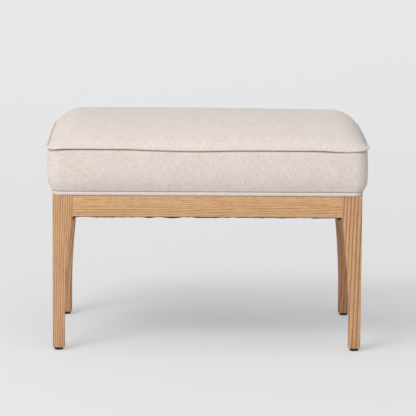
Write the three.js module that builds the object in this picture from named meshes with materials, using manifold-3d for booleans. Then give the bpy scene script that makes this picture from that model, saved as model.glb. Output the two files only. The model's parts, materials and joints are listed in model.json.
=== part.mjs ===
// Ottoman with storage: an upholstered box with a hinged, crowned lid, on an oak frame with four legs.
// Millimetres, +Z up. The origin is on the floor under the middle; the width is along X and the front faces -Y.
import * as THREE from "three";
import { mergeVertices } from "three/addons/utils/BufferGeometryUtils.js";
import Module from "manifold-3d";

const wasm = await Module();
wasm.setup();

// Driving dimensions ------------------------------------------------------------------------------------------

const GAP = 0.3; // between pieces that touch

const FRAME_HALF_X = 312; // outer faces of the oak frame
const FRAME_HALF_Y = 204;
const FRAME_TOP = 320;
const APRON_HEIGHT = 45;
const APRON_THICKNESS = 20;
const LEG_TOP_WIDTH = 40;
const LEG_FOOT_WIDTH = 24;
const LEG_CURVE_FOOT = 60; // height where the hollow inner curve dies into a straight foot
const LEG_CURVE_PULL = 149; // height of the curve's control point
const ARRIS = 1.2; // chamfer on the oak edges
const TENON_LENGTH = 15;
const TENON_THICKNESS = 10;
const TENON_SHOULDER = 5;

const GLIDE_RADIUS = 9.2;
const GLIDE_HEIGHT = 6;
const GLIDE_NAIL_RADIUS = 1.2;
const GLIDE_NAIL_LENGTH = 12;

const WALL_THICKNESS = 14;
const WALL_HALF_X = 306; // outer faces of the plywood walls of the box
const WALL_HALF_Y = 198;
const POST_TOP = 408.5;
const CLEAT = 12;
const BOTTOM_THICKNESS = 9;
const LINING_THICKNESS = 1;
const DUST_COVER_THICKNESS = 0.8;
const DUST_COVER_INSET = 4;

const CLOTH = 1.2; // upholstery fabric
const BOXING_FOOT = 326.9;
const BOXING_TOP = 408.8; // where the cloth lies over the rim of the box
const BOXING_FOOT_BULGE = 8; // how far the boxing stands out from the walls at its foot
const BOXING_BULGE = 16; // and where it is fullest
const WALL_CORNER_RADIUS = 12; // plan radius of padding and cloth against the walls, which are chamfered to suit
const LOWER_WELT_RADIUS = 3.1;
const UPPER_WELT_RADIUS = 2.5;
const UPPER_WELT_HEIGHT = 416;

const OVERALL_HALF_X = 324; // to the outside of the upper welt
const OVERALL_HALF_Y = 216;
const OVERALL_HEIGHT = 467;
const LID_FOOT = 413.7;
const LID_SHOULDER = 417.5; // where the crown starts to rise from the welt
const LID_CORNER_RADIUS = 30;
const END_ROLL = 80; // how far in from each end the crown reaches its full height
const LID_BOARD_THICKNESS = 9;
const WADDING_THICKNESS = 3;
const BOARD_CORNER_RADIUS = 60; // rounder than the crown's, because the crown droops at its corners
const LINER_THICKNESS = 0.8;
const LINER_HALF_X = 300;
const LINER_HALF_Y = 190;
const BUMPER_RADIUS = 6;

const HINGE_AXIS_Y = 212.5;
const HINGE_AXIS_Z = 410.7;
const HINGE_X = 180;
const HINGE_LENGTH = 63.5;
const HINGE_LEAF_THICKNESS = 1.2;
const HINGE_LEAF_REACH = 27.5; // from the axis to the leaf's far edge
const KNUCKLES = 5;
const KNUCKLE_RADIUS = 2.4;
const PIN_RADIUS = 1.2;
const PIN_BORE_RADIUS = 1.5;
const SCREW_HOLE_RADIUS = 2.1;

const LID_OPEN = THREE.MathUtils.degToRad(95);
const STRAP_X = 280;
const STRAP_WIDTH = 16;
const STRAP_THICKNESS = 1.5;
const STRAP_BOX_Y = 100; // where the strap is riveted to its bracket
const STRAP_BOX_Z = 374.6;
const STRAP_LID_Y = 87.5; // where it is screwed to the lid
const STRAP_LID_Z = 411.5;
const STRAP_TAIL = 9; // flat stretch either side of each fixing
const FIXING_RADIUS = 2;
const BRACKET_THICKNESS = 1.5;

// Materials ---------------------------------------------------------------------------------------------------

function material(color, roughness, metalness = 0) {
  return new THREE.MeshStandardMaterial({ color, roughness, metalness });
}

const OAK = material(0xcfa06f, 0.55);
const PLYWOOD = material(0xd8bf95, 0.7);
const LINEN = material(0xddd1c8, 0.95);
const FOAM = material(0xf0e6c0, 0.95);
const WADDING = material(0xf4f4f0, 1);
const LINING = material(0xb9b1a6, 0.95);
const BLACK_CLOTH = material(0x1c1b1a, 0.95);
const BLACK_PLASTIC = material(0x1e1a18, 0.5);
const FELT = material(0x6a6258, 1);
const STEEL = material(0xb4b2ad, 0.35, 1);
const WEBBING = material(0xc9bfae, 0.9);

// Geometry helpers --------------------------------------------------------------------------------------------

function solid(geometry) {
  const bare = geometry.clone();
  bare.deleteAttribute("normal");
  bare.deleteAttribute("uv");
  const merged = mergeVertices(bare, 1e-4);
  const vertProperties = new Float32Array(merged.attributes.position.array);
  const triVerts = new Uint32Array(merged.index.array);
  return new wasm.Manifold(new wasm.Mesh({ numProp: 3, vertProperties, triVerts }));
}

function geometryOf(body) {
  const mesh = body.getMesh();
  const geometry = new THREE.BufferGeometry();
  geometry.setAttribute("position", new THREE.BufferAttribute(new Float32Array(mesh.vertProperties), 3));
  geometry.setIndex(new THREE.BufferAttribute(new Uint32Array(mesh.triVerts), 1));
  geometry.computeVertexNormals();
  return geometry;
}

function cut(geometry, ...tools) {
  return geometryOf(tools.reduce((body, tool) => body.subtract(solid(tool)), solid(geometry)));
}

function join(...geometries) {
  return geometryOf(geometries.map(solid).reduce((body, other) => body.add(other)));
}

// A box given by its lowest and highest corners.
function block(low, high) {
  const [x, y, z] = [0, 1, 2].map((i) => high[i] - low[i]);
  const geometry = new THREE.BoxGeometry(x, y, z);
  return geometry.translate(...[0, 1, 2].map((i) => (low[i] + high[i]) / 2));
}

// A cylinder along Z or X, given by its two ends on that axis.
function rodZ(x, y, low, high, radius, sides = 16) {
  const geometry = new THREE.CylinderGeometry(radius, radius, high - low, sides);
  return geometry.rotateX(Math.PI / 2).translate(x, y, (low + high) / 2);
}

function rodX(low, high, y, z, radius, sides = 16) {
  const geometry = new THREE.CylinderGeometry(radius, radius, high - low, sides);
  return geometry.rotateZ(Math.PI / 2).translate((low + high) / 2, y, z);
}

function prism(shape, low, high) {
  const geometry = new THREE.ExtrudeGeometry(shape, { depth: high - low, bevelEnabled: false, curveSegments: 6 });
  return geometry.translate(0, 0, low);
}

// A rounded rectangle in plan, as points counted anticlockwise.
function roundedRectangle(halfX, halfY, radius, steps = 5) {
  const corners = [
    [1, 1],
    [-1, 1],
    [-1, -1],
    [1, -1],
  ];
  return corners.flatMap(([signX, signY], corner) =>
    Array.from({ length: steps + 1 }, (_, step) => {
      const angle = (Math.PI / 2) * (corner + step / steps);
      const x = signX * (halfX - radius) + radius * Math.cos(angle);
      const y = signY * (halfY - radius) + radius * Math.sin(angle);
      return [x, y];
    }),
  );
}

// Rings of equally many points, lowest first and each convex, skinned and capped.
function loft(rings) {
  const count = rings[0].length;
  const positions = rings.flat(2);
  const centre = (ring) => [0, 1, 2].map((i) => ring.reduce((sum, point) => sum + point[i], 0) / count);
  positions.push(...centre(rings[0]), ...centre(rings.at(-1)));
  const bottom = rings.length * count;
  const top = bottom + 1;
  const last = bottom - count;
  const index = [];
  for (let i = 0; i < count; i++) {
    const next = (i + 1) % count;
    for (let row = 0; row < rings.length - 1; row++) {
      const [a, b] = [row * count + i, row * count + next];
      const [c, d] = [a + count, b + count];
      index.push(a, b, d, a, d, c);
    }
    index.push(bottom, next, i, top, last + i, last + next);
  }
  const geometry = new THREE.BufferGeometry();
  geometry.setAttribute("position", new THREE.Float32BufferAttribute(positions, 3));
  geometry.setIndex(index);
  return geometry;
}

// A closed profile of [offset, height] points, anticlockwise with the offset to the right, carried round a
// rounded rectangle. The plan radius grows with the offset, so the band stays parallel to itself.
function band(profile, halfX, halfY, radius, steps = 5) {
  const rings = profile.map(([offset, z]) => {
    const corner = Math.max(radius + offset, 0.5);
    return roundedRectangle(halfX + offset, halfY + offset, corner, steps).map(([x, y]) => [x, y, z]);
  });
  const count = rings[0].length;
  const index = [];
  for (let row = 0; row < rings.length; row++) {
    const above = (row + 1) % rings.length;
    for (let i = 0; i < count; i++) {
      const next = (i + 1) % count;
      const [a, b] = [row * count + i, row * count + next];
      const [c, d] = [above * count + i, above * count + next];
      index.push(a, b, d, a, d, c);
    }
  }
  const geometry = new THREE.BufferGeometry();
  geometry.setAttribute("position", new THREE.Float32BufferAttribute(rings.flat(2), 3));
  geometry.setIndex(index);
  return geometry;
}

function circleProfile(centreOffset, centreZ, radius, sides = 8) {
  return Array.from({ length: sides }, (_, i) => {
    const angle = (2 * Math.PI * i) / sides;
    return [centreOffset + radius * Math.cos(angle), centreZ + radius * Math.sin(angle)];
  });
}

// Assembly ----------------------------------------------------------------------------------------------------

const ottoman = new THREE.Group();

function place(name, geometry, look, mirrorX = 1, mirrorY = 1) {
  const mesh = new THREE.Mesh(geometry, look);
  mesh.name = name;
  mesh.scale.set(mirrorX, mirrorY, 1);
  ottoman.add(mesh);
}

const CORNERS = [
  ["front_left", -1, -1],
  ["front_right", 1, -1],
  ["back_left", -1, 1],
  ["back_right", 1, 1],
];
const SIDES = [
  ["left", -1],
  ["right", 1],
];

// Every corner piece is drawn once, in the corner where X and Y are positive, and mirrored into the others.
function placeAtCorners(kind, geometry, look) {
  for (const [corner, mirrorX, mirrorY] of CORNERS) place(`${kind}_${corner}`, geometry, look, mirrorX, mirrorY);
}

// Oak frame ---------------------------------------------------------------------------------------------------

const APRON_FOOT = FRAME_TOP - APRON_HEIGHT;
const TENON_LOW = APRON_FOOT + TENON_SHOULDER;
const TENON_HIGH = FRAME_TOP - TENON_SHOULDER;
const LEG_INNER_X = FRAME_HALF_X - LEG_TOP_WIDTH;
const LEG_INNER_Y = FRAME_HALF_Y - LEG_TOP_WIDTH;

// A square leg whose outer faces are upright and whose inner faces are hollow below the rails.
function legGeometry() {
  const curve = new THREE.QuadraticBezierCurve(
    new THREE.Vector2(LEG_FOOT_WIDTH, LEG_CURVE_FOOT),
    new THREE.Vector2(LEG_FOOT_WIDTH, LEG_CURVE_PULL),
    new THREE.Vector2(LEG_TOP_WIDTH, APRON_FOOT),
  );
  const section = (width, z, inset = 0) => {
    const [outer, inner] = [inset, width - inset];
    const [x, y] = [FRAME_HALF_X, FRAME_HALF_Y];
    return [
      [x - inner, y - outer - ARRIS, z],
      [x - inner, y - inner + ARRIS, z],
      [x - inner + ARRIS, y - inner, z],
      [x - outer - ARRIS, y - inner, z],
      [x - outer, y - inner + ARRIS, z],
      [x - outer, y - outer - ARRIS, z],
      [x - outer - ARRIS, y - outer, z],
      [x - inner + ARRIS, y - outer, z],
    ];
  };
  const rings = [
    section(LEG_FOOT_WIDTH, GLIDE_HEIGHT, ARRIS),
    section(LEG_FOOT_WIDTH, GLIDE_HEIGHT + ARRIS),
    ...curve.getPoints(8).map((point) => section(point.x, point.y)),
    section(LEG_TOP_WIDTH, FRAME_TOP),
  ];
  const [near, far] = [TENON_SHOULDER, TENON_SHOULDER + TENON_THICKNESS];
  const depth = TENON_LENGTH + GAP;
  const frontMortise = block(
    [LEG_INNER_X - 1, FRAME_HALF_Y - far, TENON_LOW],
    [LEG_INNER_X + depth, FRAME_HALF_Y - near, TENON_HIGH],
  );
  const sideMortise = block(
    [FRAME_HALF_X - far, LEG_INNER_Y - 1, TENON_LOW],
    [FRAME_HALF_X - near, LEG_INNER_Y + depth, TENON_HIGH],
  );
  const middle = LEG_FOOT_WIDTH / 2;
  const nailHole = rodZ(
    FRAME_HALF_X - middle,
    FRAME_HALF_Y - middle,
    GLIDE_HEIGHT - 1,
    GLIDE_HEIGHT + GLIDE_NAIL_LENGTH + 1,
    GLIDE_NAIL_RADIUS + GAP,
    8,
  );
  return cut(loft(rings), frontMortise, sideMortise, nailHole);
}

// A rail along X, its outer face at outerY, with a stub tenon at each end and a chamfered lower front edge.
function railGeometry(innerX, outerY) {
  const section = new THREE.Shape();
  section.moveTo(outerY - APRON_THICKNESS, APRON_FOOT + ARRIS);
  section.lineTo(outerY - APRON_THICKNESS + ARRIS, APRON_FOOT);
  section.lineTo(outerY - ARRIS, APRON_FOOT);
  section.lineTo(outerY, APRON_FOOT + ARRIS);
  section.lineTo(outerY, FRAME_TOP);
  section.lineTo(outerY - APRON_THICKNESS, FRAME_TOP);
  const halfLength = innerX - GAP;
  const rail = alongX(section, halfLength);
  const tenon = block(
    [-halfLength - TENON_LENGTH, outerY - TENON_SHOULDER - TENON_THICKNESS + GAP, TENON_LOW + GAP],
    [halfLength + TENON_LENGTH, outerY - TENON_SHOULDER - GAP, TENON_HIGH - GAP],
  );
  return join(rail, tenon);
}

// A section drawn in Y and Z, drawn out to both sides of X = 0.
function alongX(section, halfLength) {
  const geometry = prism(section, -halfLength, halfLength);
  return geometry.applyMatrix4(new THREE.Matrix4().makeBasis(
    new THREE.Vector3(0, 1, 0),
    new THREE.Vector3(0, 0, 1),
    new THREE.Vector3(1, 0, 0),
  ));
}

function quarterTurn(geometry) {
  return geometry.clone().rotateZ(-Math.PI / 2);
}

function addFrame() {
  placeAtCorners("leg", legGeometry(), OAK);
  const longRail = railGeometry(LEG_INNER_X, FRAME_HALF_Y);
  place("apron_front", longRail, OAK, 1, -1);
  place("apron_back", longRail, OAK);
  const shortRail = quarterTurn(railGeometry(LEG_INNER_Y, FRAME_HALF_X));
  place("apron_left", shortRail, OAK, -1);
  place("apron_right", shortRail, OAK);
}

function addGlides() {
  const [r, h] = [GLIDE_RADIUS, GLIDE_HEIGHT - GAP];
  const profile = [
    [0, 0],
    [r - 2.2, 0],
    [r - 0.7, 0.7],
    [r, 2.2],
    [r, h - 0.6],
    [r - 0.6, h],
    [GLIDE_NAIL_RADIUS, h],
    [GLIDE_NAIL_RADIUS, h + GLIDE_NAIL_LENGTH - 2],
    [0, h + GLIDE_NAIL_LENGTH],
  ].map(([x, y]) => new THREE.Vector2(x, y));
  const middle = LEG_FOOT_WIDTH / 2;
  const glide = new THREE.LatheGeometry(profile, 16).rotateX(Math.PI / 2);
  glide.translate(FRAME_HALF_X - middle, FRAME_HALF_Y - middle, 0);
  placeAtCorners("glide", glide, BLACK_PLASTIC);
}

// Box ---------------------------------------------------------------------------------------------------------

const WALL_FOOT = FRAME_TOP + GAP;
const WALL_TOP = BOXING_TOP - CLOTH - GAP;
const WELL_HALF_X = WALL_HALF_X - WALL_THICKNESS;
const WELL_HALF_Y = WALL_HALF_Y - WALL_THICKNESS;

// The plan of the well: a rectangle whose corners are notched round the legs, drawn in from the walls by inset.
function wellOutline(inset) {
  const [x, y] = [WELL_HALF_X - inset, WELL_HALF_Y - inset];
  const [notchX, notchY] = [LEG_INNER_X - inset, LEG_INNER_Y - inset];
  return crossShape(x, y, notchX, notchY);
}

// A rectangle of halfX by halfY with its four corners cut back to notchX and notchY.
function crossShape(x, y, notchX, notchY) {
  const quarter = [
    [x, notchY],
    [notchX, notchY],
    [notchX, y],
  ];
  const mirrored = quarter.map(([px, py]) => [-px, py]).reverse();
  const upper = [...quarter, ...mirrored];
  const lower = upper.map(([px, py]) => [px, -py]).reverse();
  return new THREE.Shape([...upper, ...lower].map(([px, py]) => new THREE.Vector2(px, py)));
}

function addWalls() {
  const [x, y, c] = [WALL_HALF_X, WALL_HALF_Y, WALL_CORNER_RADIUS];
  const outline = [
    [-x, WELL_HALF_Y],
    [x, WELL_HALF_Y],
    [x, y - c],
    [x - c, y],
    [-x + c, y],
    [-x, y - c],
  ];
  const longWall = prism(new THREE.Shape(outline.map(([px, py]) => new THREE.Vector2(px, py))), WALL_FOOT, WALL_TOP);
  place("box_wall_front", longWall, PLYWOOD, 1, -1);
  place("box_wall_back", longWall, PLYWOOD);
  const shortWall = block([WELL_HALF_X, -WELL_HALF_Y + GAP, WALL_FOOT], [x, WELL_HALF_Y - GAP, WALL_TOP]);
  place("box_wall_left", shortWall, PLYWOOD, -1);
  place("box_wall_right", shortWall, PLYWOOD);
  const post = block(
    [LEG_INNER_X, LEG_INNER_Y, WALL_FOOT],
    [WELL_HALF_X - GAP, WELL_HALF_Y - GAP, POST_TOP],
  );
  placeAtCorners("corner_post", post, PLYWOOD);
}

function addBottom() {
  const cleatFoot = APRON_FOOT + GAP;
  const cleatTop = cleatFoot + CLEAT;
  const [x, y] = [WELL_HALF_X - GAP, WELL_HALF_Y - GAP];
  const longCleat = block([-LEG_INNER_X + GAP, y - CLEAT, cleatFoot], [LEG_INNER_X - GAP, y, cleatTop]);
  place("cleat_front", longCleat, OAK, 1, -1);
  place("cleat_back", longCleat, OAK);
  const shortCleat = block([x - CLEAT, -LEG_INNER_Y + GAP, cleatFoot], [x, LEG_INNER_Y - GAP, cleatTop]);
  place("cleat_left", shortCleat, OAK, -1);
  place("cleat_right", shortCleat, OAK);

  const panelTop = cleatTop + GAP + BOTTOM_THICKNESS;
  place("bottom_panel", prism(wellOutline(GAP), cleatTop + GAP, panelTop), PLYWOOD);

  const liningFoot = panelTop + GAP;
  const lining = cut(
    prism(wellOutline(GAP), liningFoot, POST_TOP),
    prism(wellOutline(GAP + LINING_THICKNESS), liningFoot + LINING_THICKNESS, POST_TOP + 1),
  );
  place("well_lining", lining, LINING);

  const dustTop = APRON_FOOT - GAP;
  const sheet = crossShape(
    FRAME_HALF_X - DUST_COVER_INSET,
    FRAME_HALF_Y - DUST_COVER_INSET,
    LEG_INNER_X - 2 * GAP,
    LEG_INNER_Y - 2 * GAP,
  );
  place("dust_cover", prism(sheet, dustTop - DUST_COVER_THICKNESS, dustTop), BLACK_CLOTH);
}

// The outside of the boxing in section, from its foot to its rim, drawn in by inset.
function bulge(inset) {
  const foot = new THREE.Vector2(BOXING_FOOT_BULGE - inset, BOXING_FOOT);
  const full = BOXING_BULGE - inset;
  const top = BOXING_TOP - inset;
  const lower = new THREE.CubicBezierCurve(
    foot,
    new THREE.Vector2(foot.x + 3.5, BOXING_FOOT + 11),
    new THREE.Vector2(full, BOXING_FOOT + 18),
    new THREE.Vector2(full, BOXING_FOOT + 48),
  );
  const upper = new THREE.QuadraticBezierCurve(
    new THREE.Vector2(full, top - 15),
    new THREE.Vector2(full, top - 1),
    new THREE.Vector2(full - 11, top),
  );
  return [...lower.getPoints(5), ...upper.getPoints(3)].map((point) => [point.x, point.y]);
}

function addBoxUpholstery() {
  const skin = [
    ...bulge(0),
    [-WALL_THICKNESS, BOXING_TOP],
    [-WALL_THICKNESS, BOXING_TOP - CLOTH],
    ...bulge(CLOTH).reverse(),
  ];
  place("boxing_cover", band(skin, WALL_HALF_X, WALL_HALF_Y, WALL_CORNER_RADIUS), LINEN);

  const foot = WALL_FOOT + LOWER_WELT_RADIUS;
  const welt = circleProfile(BOXING_FOOT_BULGE + 0.4 - LOWER_WELT_RADIUS, foot, LOWER_WELT_RADIUS);
  place("lower_welt", band(welt, WALL_HALF_X, WALL_HALF_Y, WALL_CORNER_RADIUS), LINEN);

  const padOuter = bulge(CLOTH + GAP);
  const padProfile = [[GAP, BOXING_FOOT], ...padOuter, [GAP, padOuter.at(-1)[1]]];
  const padding = band(padProfile, WALL_HALF_X, WALL_HALF_Y, WALL_CORNER_RADIUS, 3);
  const seam = WALL_HALF_Y - WALL_CORNER_RADIUS;
  const [farX, farY, farZ] = [OVERALL_HALF_X, OVERALL_HALF_Y, BOXING_TOP];
  const allButBack = block([-farX, -farY, 0], [farX, seam + GAP / 2, farZ]);
  place("side_pad_front", cut(padding, allButBack), WADDING, 1, -1);
  place("side_pad_back", cut(padding, allButBack), WADDING);
  const back = block([-farX, seam - GAP / 2, 0], [farX, farY, farZ]);
  const front = block([-farX, -farY, 0], [farX, -seam + GAP / 2, farZ]);
  const left = block([-farX, -farY, 0], [0, farY, farZ]);
  place("side_pad_left", cut(padding, back, front, left), WADDING, -1);
  place("side_pad_right", cut(padding, back, front, left), WADDING);
}

function addBumpers() {
  const [x, y] = [(LEG_INNER_X + WELL_HALF_X) / 2, (LEG_INNER_Y + WELL_HALF_Y) / 2];
  const top = LID_FOOT - 2 * GAP - LINER_THICKNESS;
  placeAtCorners("lid_bumper", rodZ(x, y, POST_TOP + GAP, top, BUMPER_RADIUS, 16), FELT);
}

// Lid ---------------------------------------------------------------------------------------------------------

// Share of the crown's full rise at a point in plan: 0 all round the rounded rectangle of its edge, 1 in the middle.
function crownShare(x, y, halfX, halfY, radius) {
  const edgeAt = (half, other, otherHalf) =>
    half - radius + Math.sqrt(Math.max(0, radius ** 2 - Math.max(0, Math.abs(other) - otherHalf + radius) ** 2));
  const fromEnd = Math.max(0, edgeAt(halfX, y, halfY) - Math.abs(x));
  const fromFront = Math.max(0, edgeAt(halfY, x, halfX) - Math.abs(y));
  const ends = (1 - Math.max(0, 1 - fromEnd / END_ROLL) ** 1.8) ** 0.58;
  const arch = (1 - Math.max(0, 1 - fromFront / halfY) ** 2.5) ** 0.82;
  return ends * arch;
}

// The crown arches from front to back and rolls over at the ends. inset is the depth below the outside of the cover.
function dome(inset, foot) {
  const halfX = OVERALL_HALF_X - 2 - inset;
  const halfY = OVERALL_HALF_Y - 2 - inset;
  const radius = LID_CORNER_RADIUS - inset;
  const rise = OVERALL_HEIGHT - inset - LID_SHOULDER;
  const shares = [1, 0.985, 0.96, 0.93, 0.88, 0.8, 0.68, 0.5, 0.25];
  const outline = roundedRectangle(halfX, halfY, radius);
  const crown = shares.map((share) =>
    outline.map(([x, y]) => {
      const height = share < 1 ? rise * crownShare(x * share, y * share, halfX, halfY, radius) : 0;
      return [x * share, y * share, LID_SHOULDER + height];
    }),
  );
  return loft([outline.map(([x, y]) => [x, y, foot]), ...crown]);
}

const BOARD_TOP = LID_FOOT + LID_BOARD_THICKNESS;
const FOAM_INSET = CLOTH + GAP + WADDING_THICKNESS + GAP;
const BOARD_INSET = 14;

function fixingHoles(radius) {
  return SIDES.map(([, side]) => rodZ(side * STRAP_X, STRAP_LID_Y, LID_FOOT - 5, LID_FOOT + 9, radius, 12));
}

// The lid's board, or with a margin the pocket in the foam that it lies in.
function boardBlock(margin, foot) {
  const inset = 2 + BOARD_INSET - margin;
  const outline = roundedRectangle(OVERALL_HALF_X - inset, OVERALL_HALF_Y - inset, BOARD_CORNER_RADIUS);
  return loft([foot, BOARD_TOP + margin].map((z) => outline.map(([x, y]) => [x, y, z])));
}

function addLid() {
  place("lid_board", cut(boardBlock(0, LID_FOOT), ...fixingHoles(FIXING_RADIUS + GAP)), PLYWOOD);
  place("crown_foam", cut(dome(FOAM_INSET, LID_FOOT), boardBlock(GAP, LID_FOOT - 1)), FOAM);
  const waddingOuter = CLOTH + GAP;
  const wadding = cut(dome(waddingOuter, LID_FOOT), dome(waddingOuter + WADDING_THICKNESS, LID_FOOT - 1));
  place("crown_wadding", wadding, WADDING);
  place("lid_cover", cut(dome(0, LID_FOOT), dome(CLOTH, LID_FOOT - 1)), LINEN);

  const weltCentre = OVERALL_HALF_X - UPPER_WELT_RADIUS - WALL_HALF_X;
  const inner = weltCentre - UPPER_WELT_RADIUS;
  const ring = band(
    circleProfile(weltCentre, UPPER_WELT_HEIGHT, UPPER_WELT_RADIUS),
    WALL_HALF_X,
    WALL_HALF_Y,
    LID_CORNER_RADIUS - inner,
  );
  place("upper_welt", cut(ring, dome(-GAP, UPPER_WELT_HEIGHT - 2 * UPPER_WELT_RADIUS)), LINEN);

  const sheet = new THREE.Shape(
    roundedRectangle(LINER_HALF_X, LINER_HALF_Y, 10, 3).map(([x, y]) => new THREE.Vector2(x, y)),
  );
  const linerTop = LID_FOOT - GAP;
  const liner = prism(sheet, linerTop - LINER_THICKNESS, linerTop);
  place("lid_liner", cut(liner, ...fixingHoles(FIXING_RADIUS + GAP)), LINING);
}

// Hinges ------------------------------------------------------------------------------------------------------

// One leaf of a butt hinge centred on X = 0. Its plate lies between low and high, and it owns every other
// knuckle, starting with the first (0) or the second (1).
function hingeLeaf(low, high, first) {
  const half = HINGE_LENGTH / 2;
  const pitch = HINGE_LENGTH / KNUCKLES;
  const plateEdge = HINGE_AXIS_Y - KNUCKLE_RADIUS - GAP;
  const farEdge = HINGE_AXIS_Y - HINGE_LEAF_REACH;
  const plate = new THREE.Shape();
  plate.moveTo(half, plateEdge);
  plate.lineTo(-half, plateEdge);
  plate.lineTo(-half, farEdge + 3);
  plate.absarc(-half + 3, farEdge + 3, 3, Math.PI, 1.5 * Math.PI);
  plate.absarc(half - 3, farEdge + 3, 3, 1.5 * Math.PI, 2 * Math.PI);
  const pieces = [prism(plate, low, high)];
  for (let i = first; i < KNUCKLES; i += 2) {
    const [start, end] = [-half + i * pitch + GAP / 2, -half + (i + 1) * pitch - GAP / 2];
    pieces.push(rodX(start, end, HINGE_AXIS_Y, HINGE_AXIS_Z, KNUCKLE_RADIUS));
    pieces.push(block([start, plateEdge - 1, low], [end, HINGE_AXIS_Y, high]));
  }
  const bore = rodX(-half - 1, half + 1, HINGE_AXIS_Y, HINGE_AXIS_Z, PIN_BORE_RADIUS);
  const screwRow = farEdge + 7;
  const holes = [-1, 0, 1].map((i) => rodZ(i * 22, screwRow, low - 1, high + 1, SCREW_HOLE_RADIUS, 12));
  return cut(join(...pieces), bore, ...holes);
}

function hingePin() {
  const half = HINGE_LENGTH / 2 + GAP;
  const pin = rodX(-half, half, HINGE_AXIS_Y, HINGE_AXIS_Z, PIN_RADIUS, 12);
  const heads = [-1, 1].map((end) => {
    const [near, far] = [end * (half - 0.05), end * (half + 1.2)];
    return rodX(Math.min(near, far), Math.max(near, far), HINGE_AXIS_Y, HINGE_AXIS_Z, 2, 12);
  });
  return join(pin, ...heads);
}

function addHinges() {
  const boxLeafLow = BOXING_TOP + GAP;
  const lidLeafHigh = LID_FOOT - 2 * GAP - LINER_THICKNESS;
  const pieces = [
    ["box_leaf", hingeLeaf(boxLeafLow, boxLeafLow + HINGE_LEAF_THICKNESS, 0)],
    ["lid_leaf", hingeLeaf(lidLeafHigh - HINGE_LEAF_THICKNESS, lidLeafHigh, 1)],
    ["pin", hingePin()],
  ];
  for (const [side, sign] of SIDES)
    for (const [piece, geometry] of pieces)
      place(`hinge_${side}_${piece}`, geometry.clone().translate(sign * HINGE_X, 0, 0), STEEL);
}

// Check straps ------------------------------------------------------------------------------------------------

function turned(point, angle) {
  const [y, z] = [point.x - HINGE_AXIS_Y, point.y - HINGE_AXIS_Z];
  const [c, s] = [Math.cos(angle), Math.sin(angle)];
  return new THREE.Vector2(HINGE_AXIS_Y + c * y - s * z, HINGE_AXIS_Z + s * y + c * z);
}

// With the lid open the strap is taut. Closing the lid turns each of its points back by a share that grows from
// none at the box to the whole angle at the lid, and this finds where a taut point then lies, in Y and Z.
function foldedPoint(taut) {
  const low = STRAP_BOX_Z + STRAP_THICKNESS;
  const high = STRAP_LID_Z - STRAP_THICKNESS;
  let [least, most] = [0, 1];
  for (let step = 0; step < 40; step++) {
    const share = (least + most) / 2;
    const z = turned(taut, share * LID_OPEN).y;
    const wanted = THREE.MathUtils.smoothstep(z, low, high);
    if (wanted > share) least = share;
    else most = share;
  }
  return turned(taut, least * LID_OPEN);
}

// The strap's middle line with the lid shut: its tail on the bracket, the fold, and its tail on the lid.
function strapLine() {
  const start = new THREE.Vector2(STRAP_BOX_Y + STRAP_TAIL, STRAP_BOX_Z);
  const endShut = new THREE.Vector2(STRAP_LID_Y + STRAP_TAIL, STRAP_LID_Z);
  const endOpen = turned(endShut, -LID_OPEN);
  const steps = 24;
  const folded = Array.from({ length: steps + 1 }, (_, i) =>
    foldedPoint(new THREE.Vector2().lerpVectors(start, endOpen, i / steps)),
  );
  return [
    new THREE.Vector2(STRAP_BOX_Y - STRAP_TAIL, STRAP_BOX_Z),
    ...folded,
    new THREE.Vector2(STRAP_LID_Y - STRAP_TAIL, STRAP_LID_Z),
  ];
}

function strapGeometry() {
  const line = strapLine();
  const half = STRAP_THICKNESS / 2;
  const offsetBy = (side) =>
    line.map((point, i) => {
      const before = line[Math.max(i - 1, 0)];
      const after = line[Math.min(i + 1, line.length - 1)];
      const along = after.clone().sub(before).normalize();
      return new THREE.Vector2(point.x + side * half * along.y, point.y - side * half * along.x);
    });
  const section = new THREE.Shape([...offsetBy(1), ...offsetBy(-1).reverse()]);
  const strap = alongX(section, STRAP_WIDTH / 2);
  const hole = FIXING_RADIUS + GAP;
  const boxHole = rodZ(0, STRAP_BOX_Y, STRAP_BOX_Z - 2, STRAP_BOX_Z + 2, hole, 12);
  const lidHole = rodZ(0, STRAP_LID_Y, STRAP_LID_Z - 2, STRAP_LID_Z + 2, hole, 12);
  return cut(strap, boxHole, lidHole);
}

// A steel angle screwed to the side wall, drawn for the right-hand side with its wall face at the lining.
function bracketGeometry() {
  const wallFace = WELL_HALF_X - 2 * GAP - LINING_THICKNESS;
  const shelfTop = STRAP_BOX_Z - STRAP_THICKNESS / 2 - GAP;
  const shelfFoot = shelfTop - BRACKET_THICKNESS;
  const [near, far] = [STRAP_BOX_Y - 12, STRAP_BOX_Y + 12];
  const shelf = block([STRAP_X - STRAP_WIDTH / 2, near, shelfFoot], [wallFace, far, shelfTop]);
  const flange = block([wallFace - BRACKET_THICKNESS, near, shelfFoot - 22], [wallFace, far, shelfTop]);
  return cut(join(shelf, flange), rodZ(STRAP_X, STRAP_BOX_Y, shelfFoot - 1, shelfTop + 1, FIXING_RADIUS + GAP, 12));
}

// A round fixing turned about Z: a head on each side of what it holds, or a head and a plain shank.
function turnedPiece(profile, y, z) {
  const points = profile.map(([radius, height]) => new THREE.Vector2(radius, height));
  return new THREE.LatheGeometry(points, 14).rotateX(Math.PI / 2).translate(STRAP_X, y, z);
}

function rivetGeometry() {
  const top = STRAP_BOX_Z + STRAP_THICKNESS / 2 + GAP;
  const length = STRAP_THICKNESS + BRACKET_THICKNESS + 3 * GAP;
  const profile = [
    [0, -length - 1.4],
    [3, -length - 1.2],
    [3.6, -length],
    [FIXING_RADIUS, -length],
    [FIXING_RADIUS, 0],
    [5.5, 0],
    [4.8, 1],
    [0, 1.6],
  ];
  return turnedPiece(profile, STRAP_BOX_Y, top);
}

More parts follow.
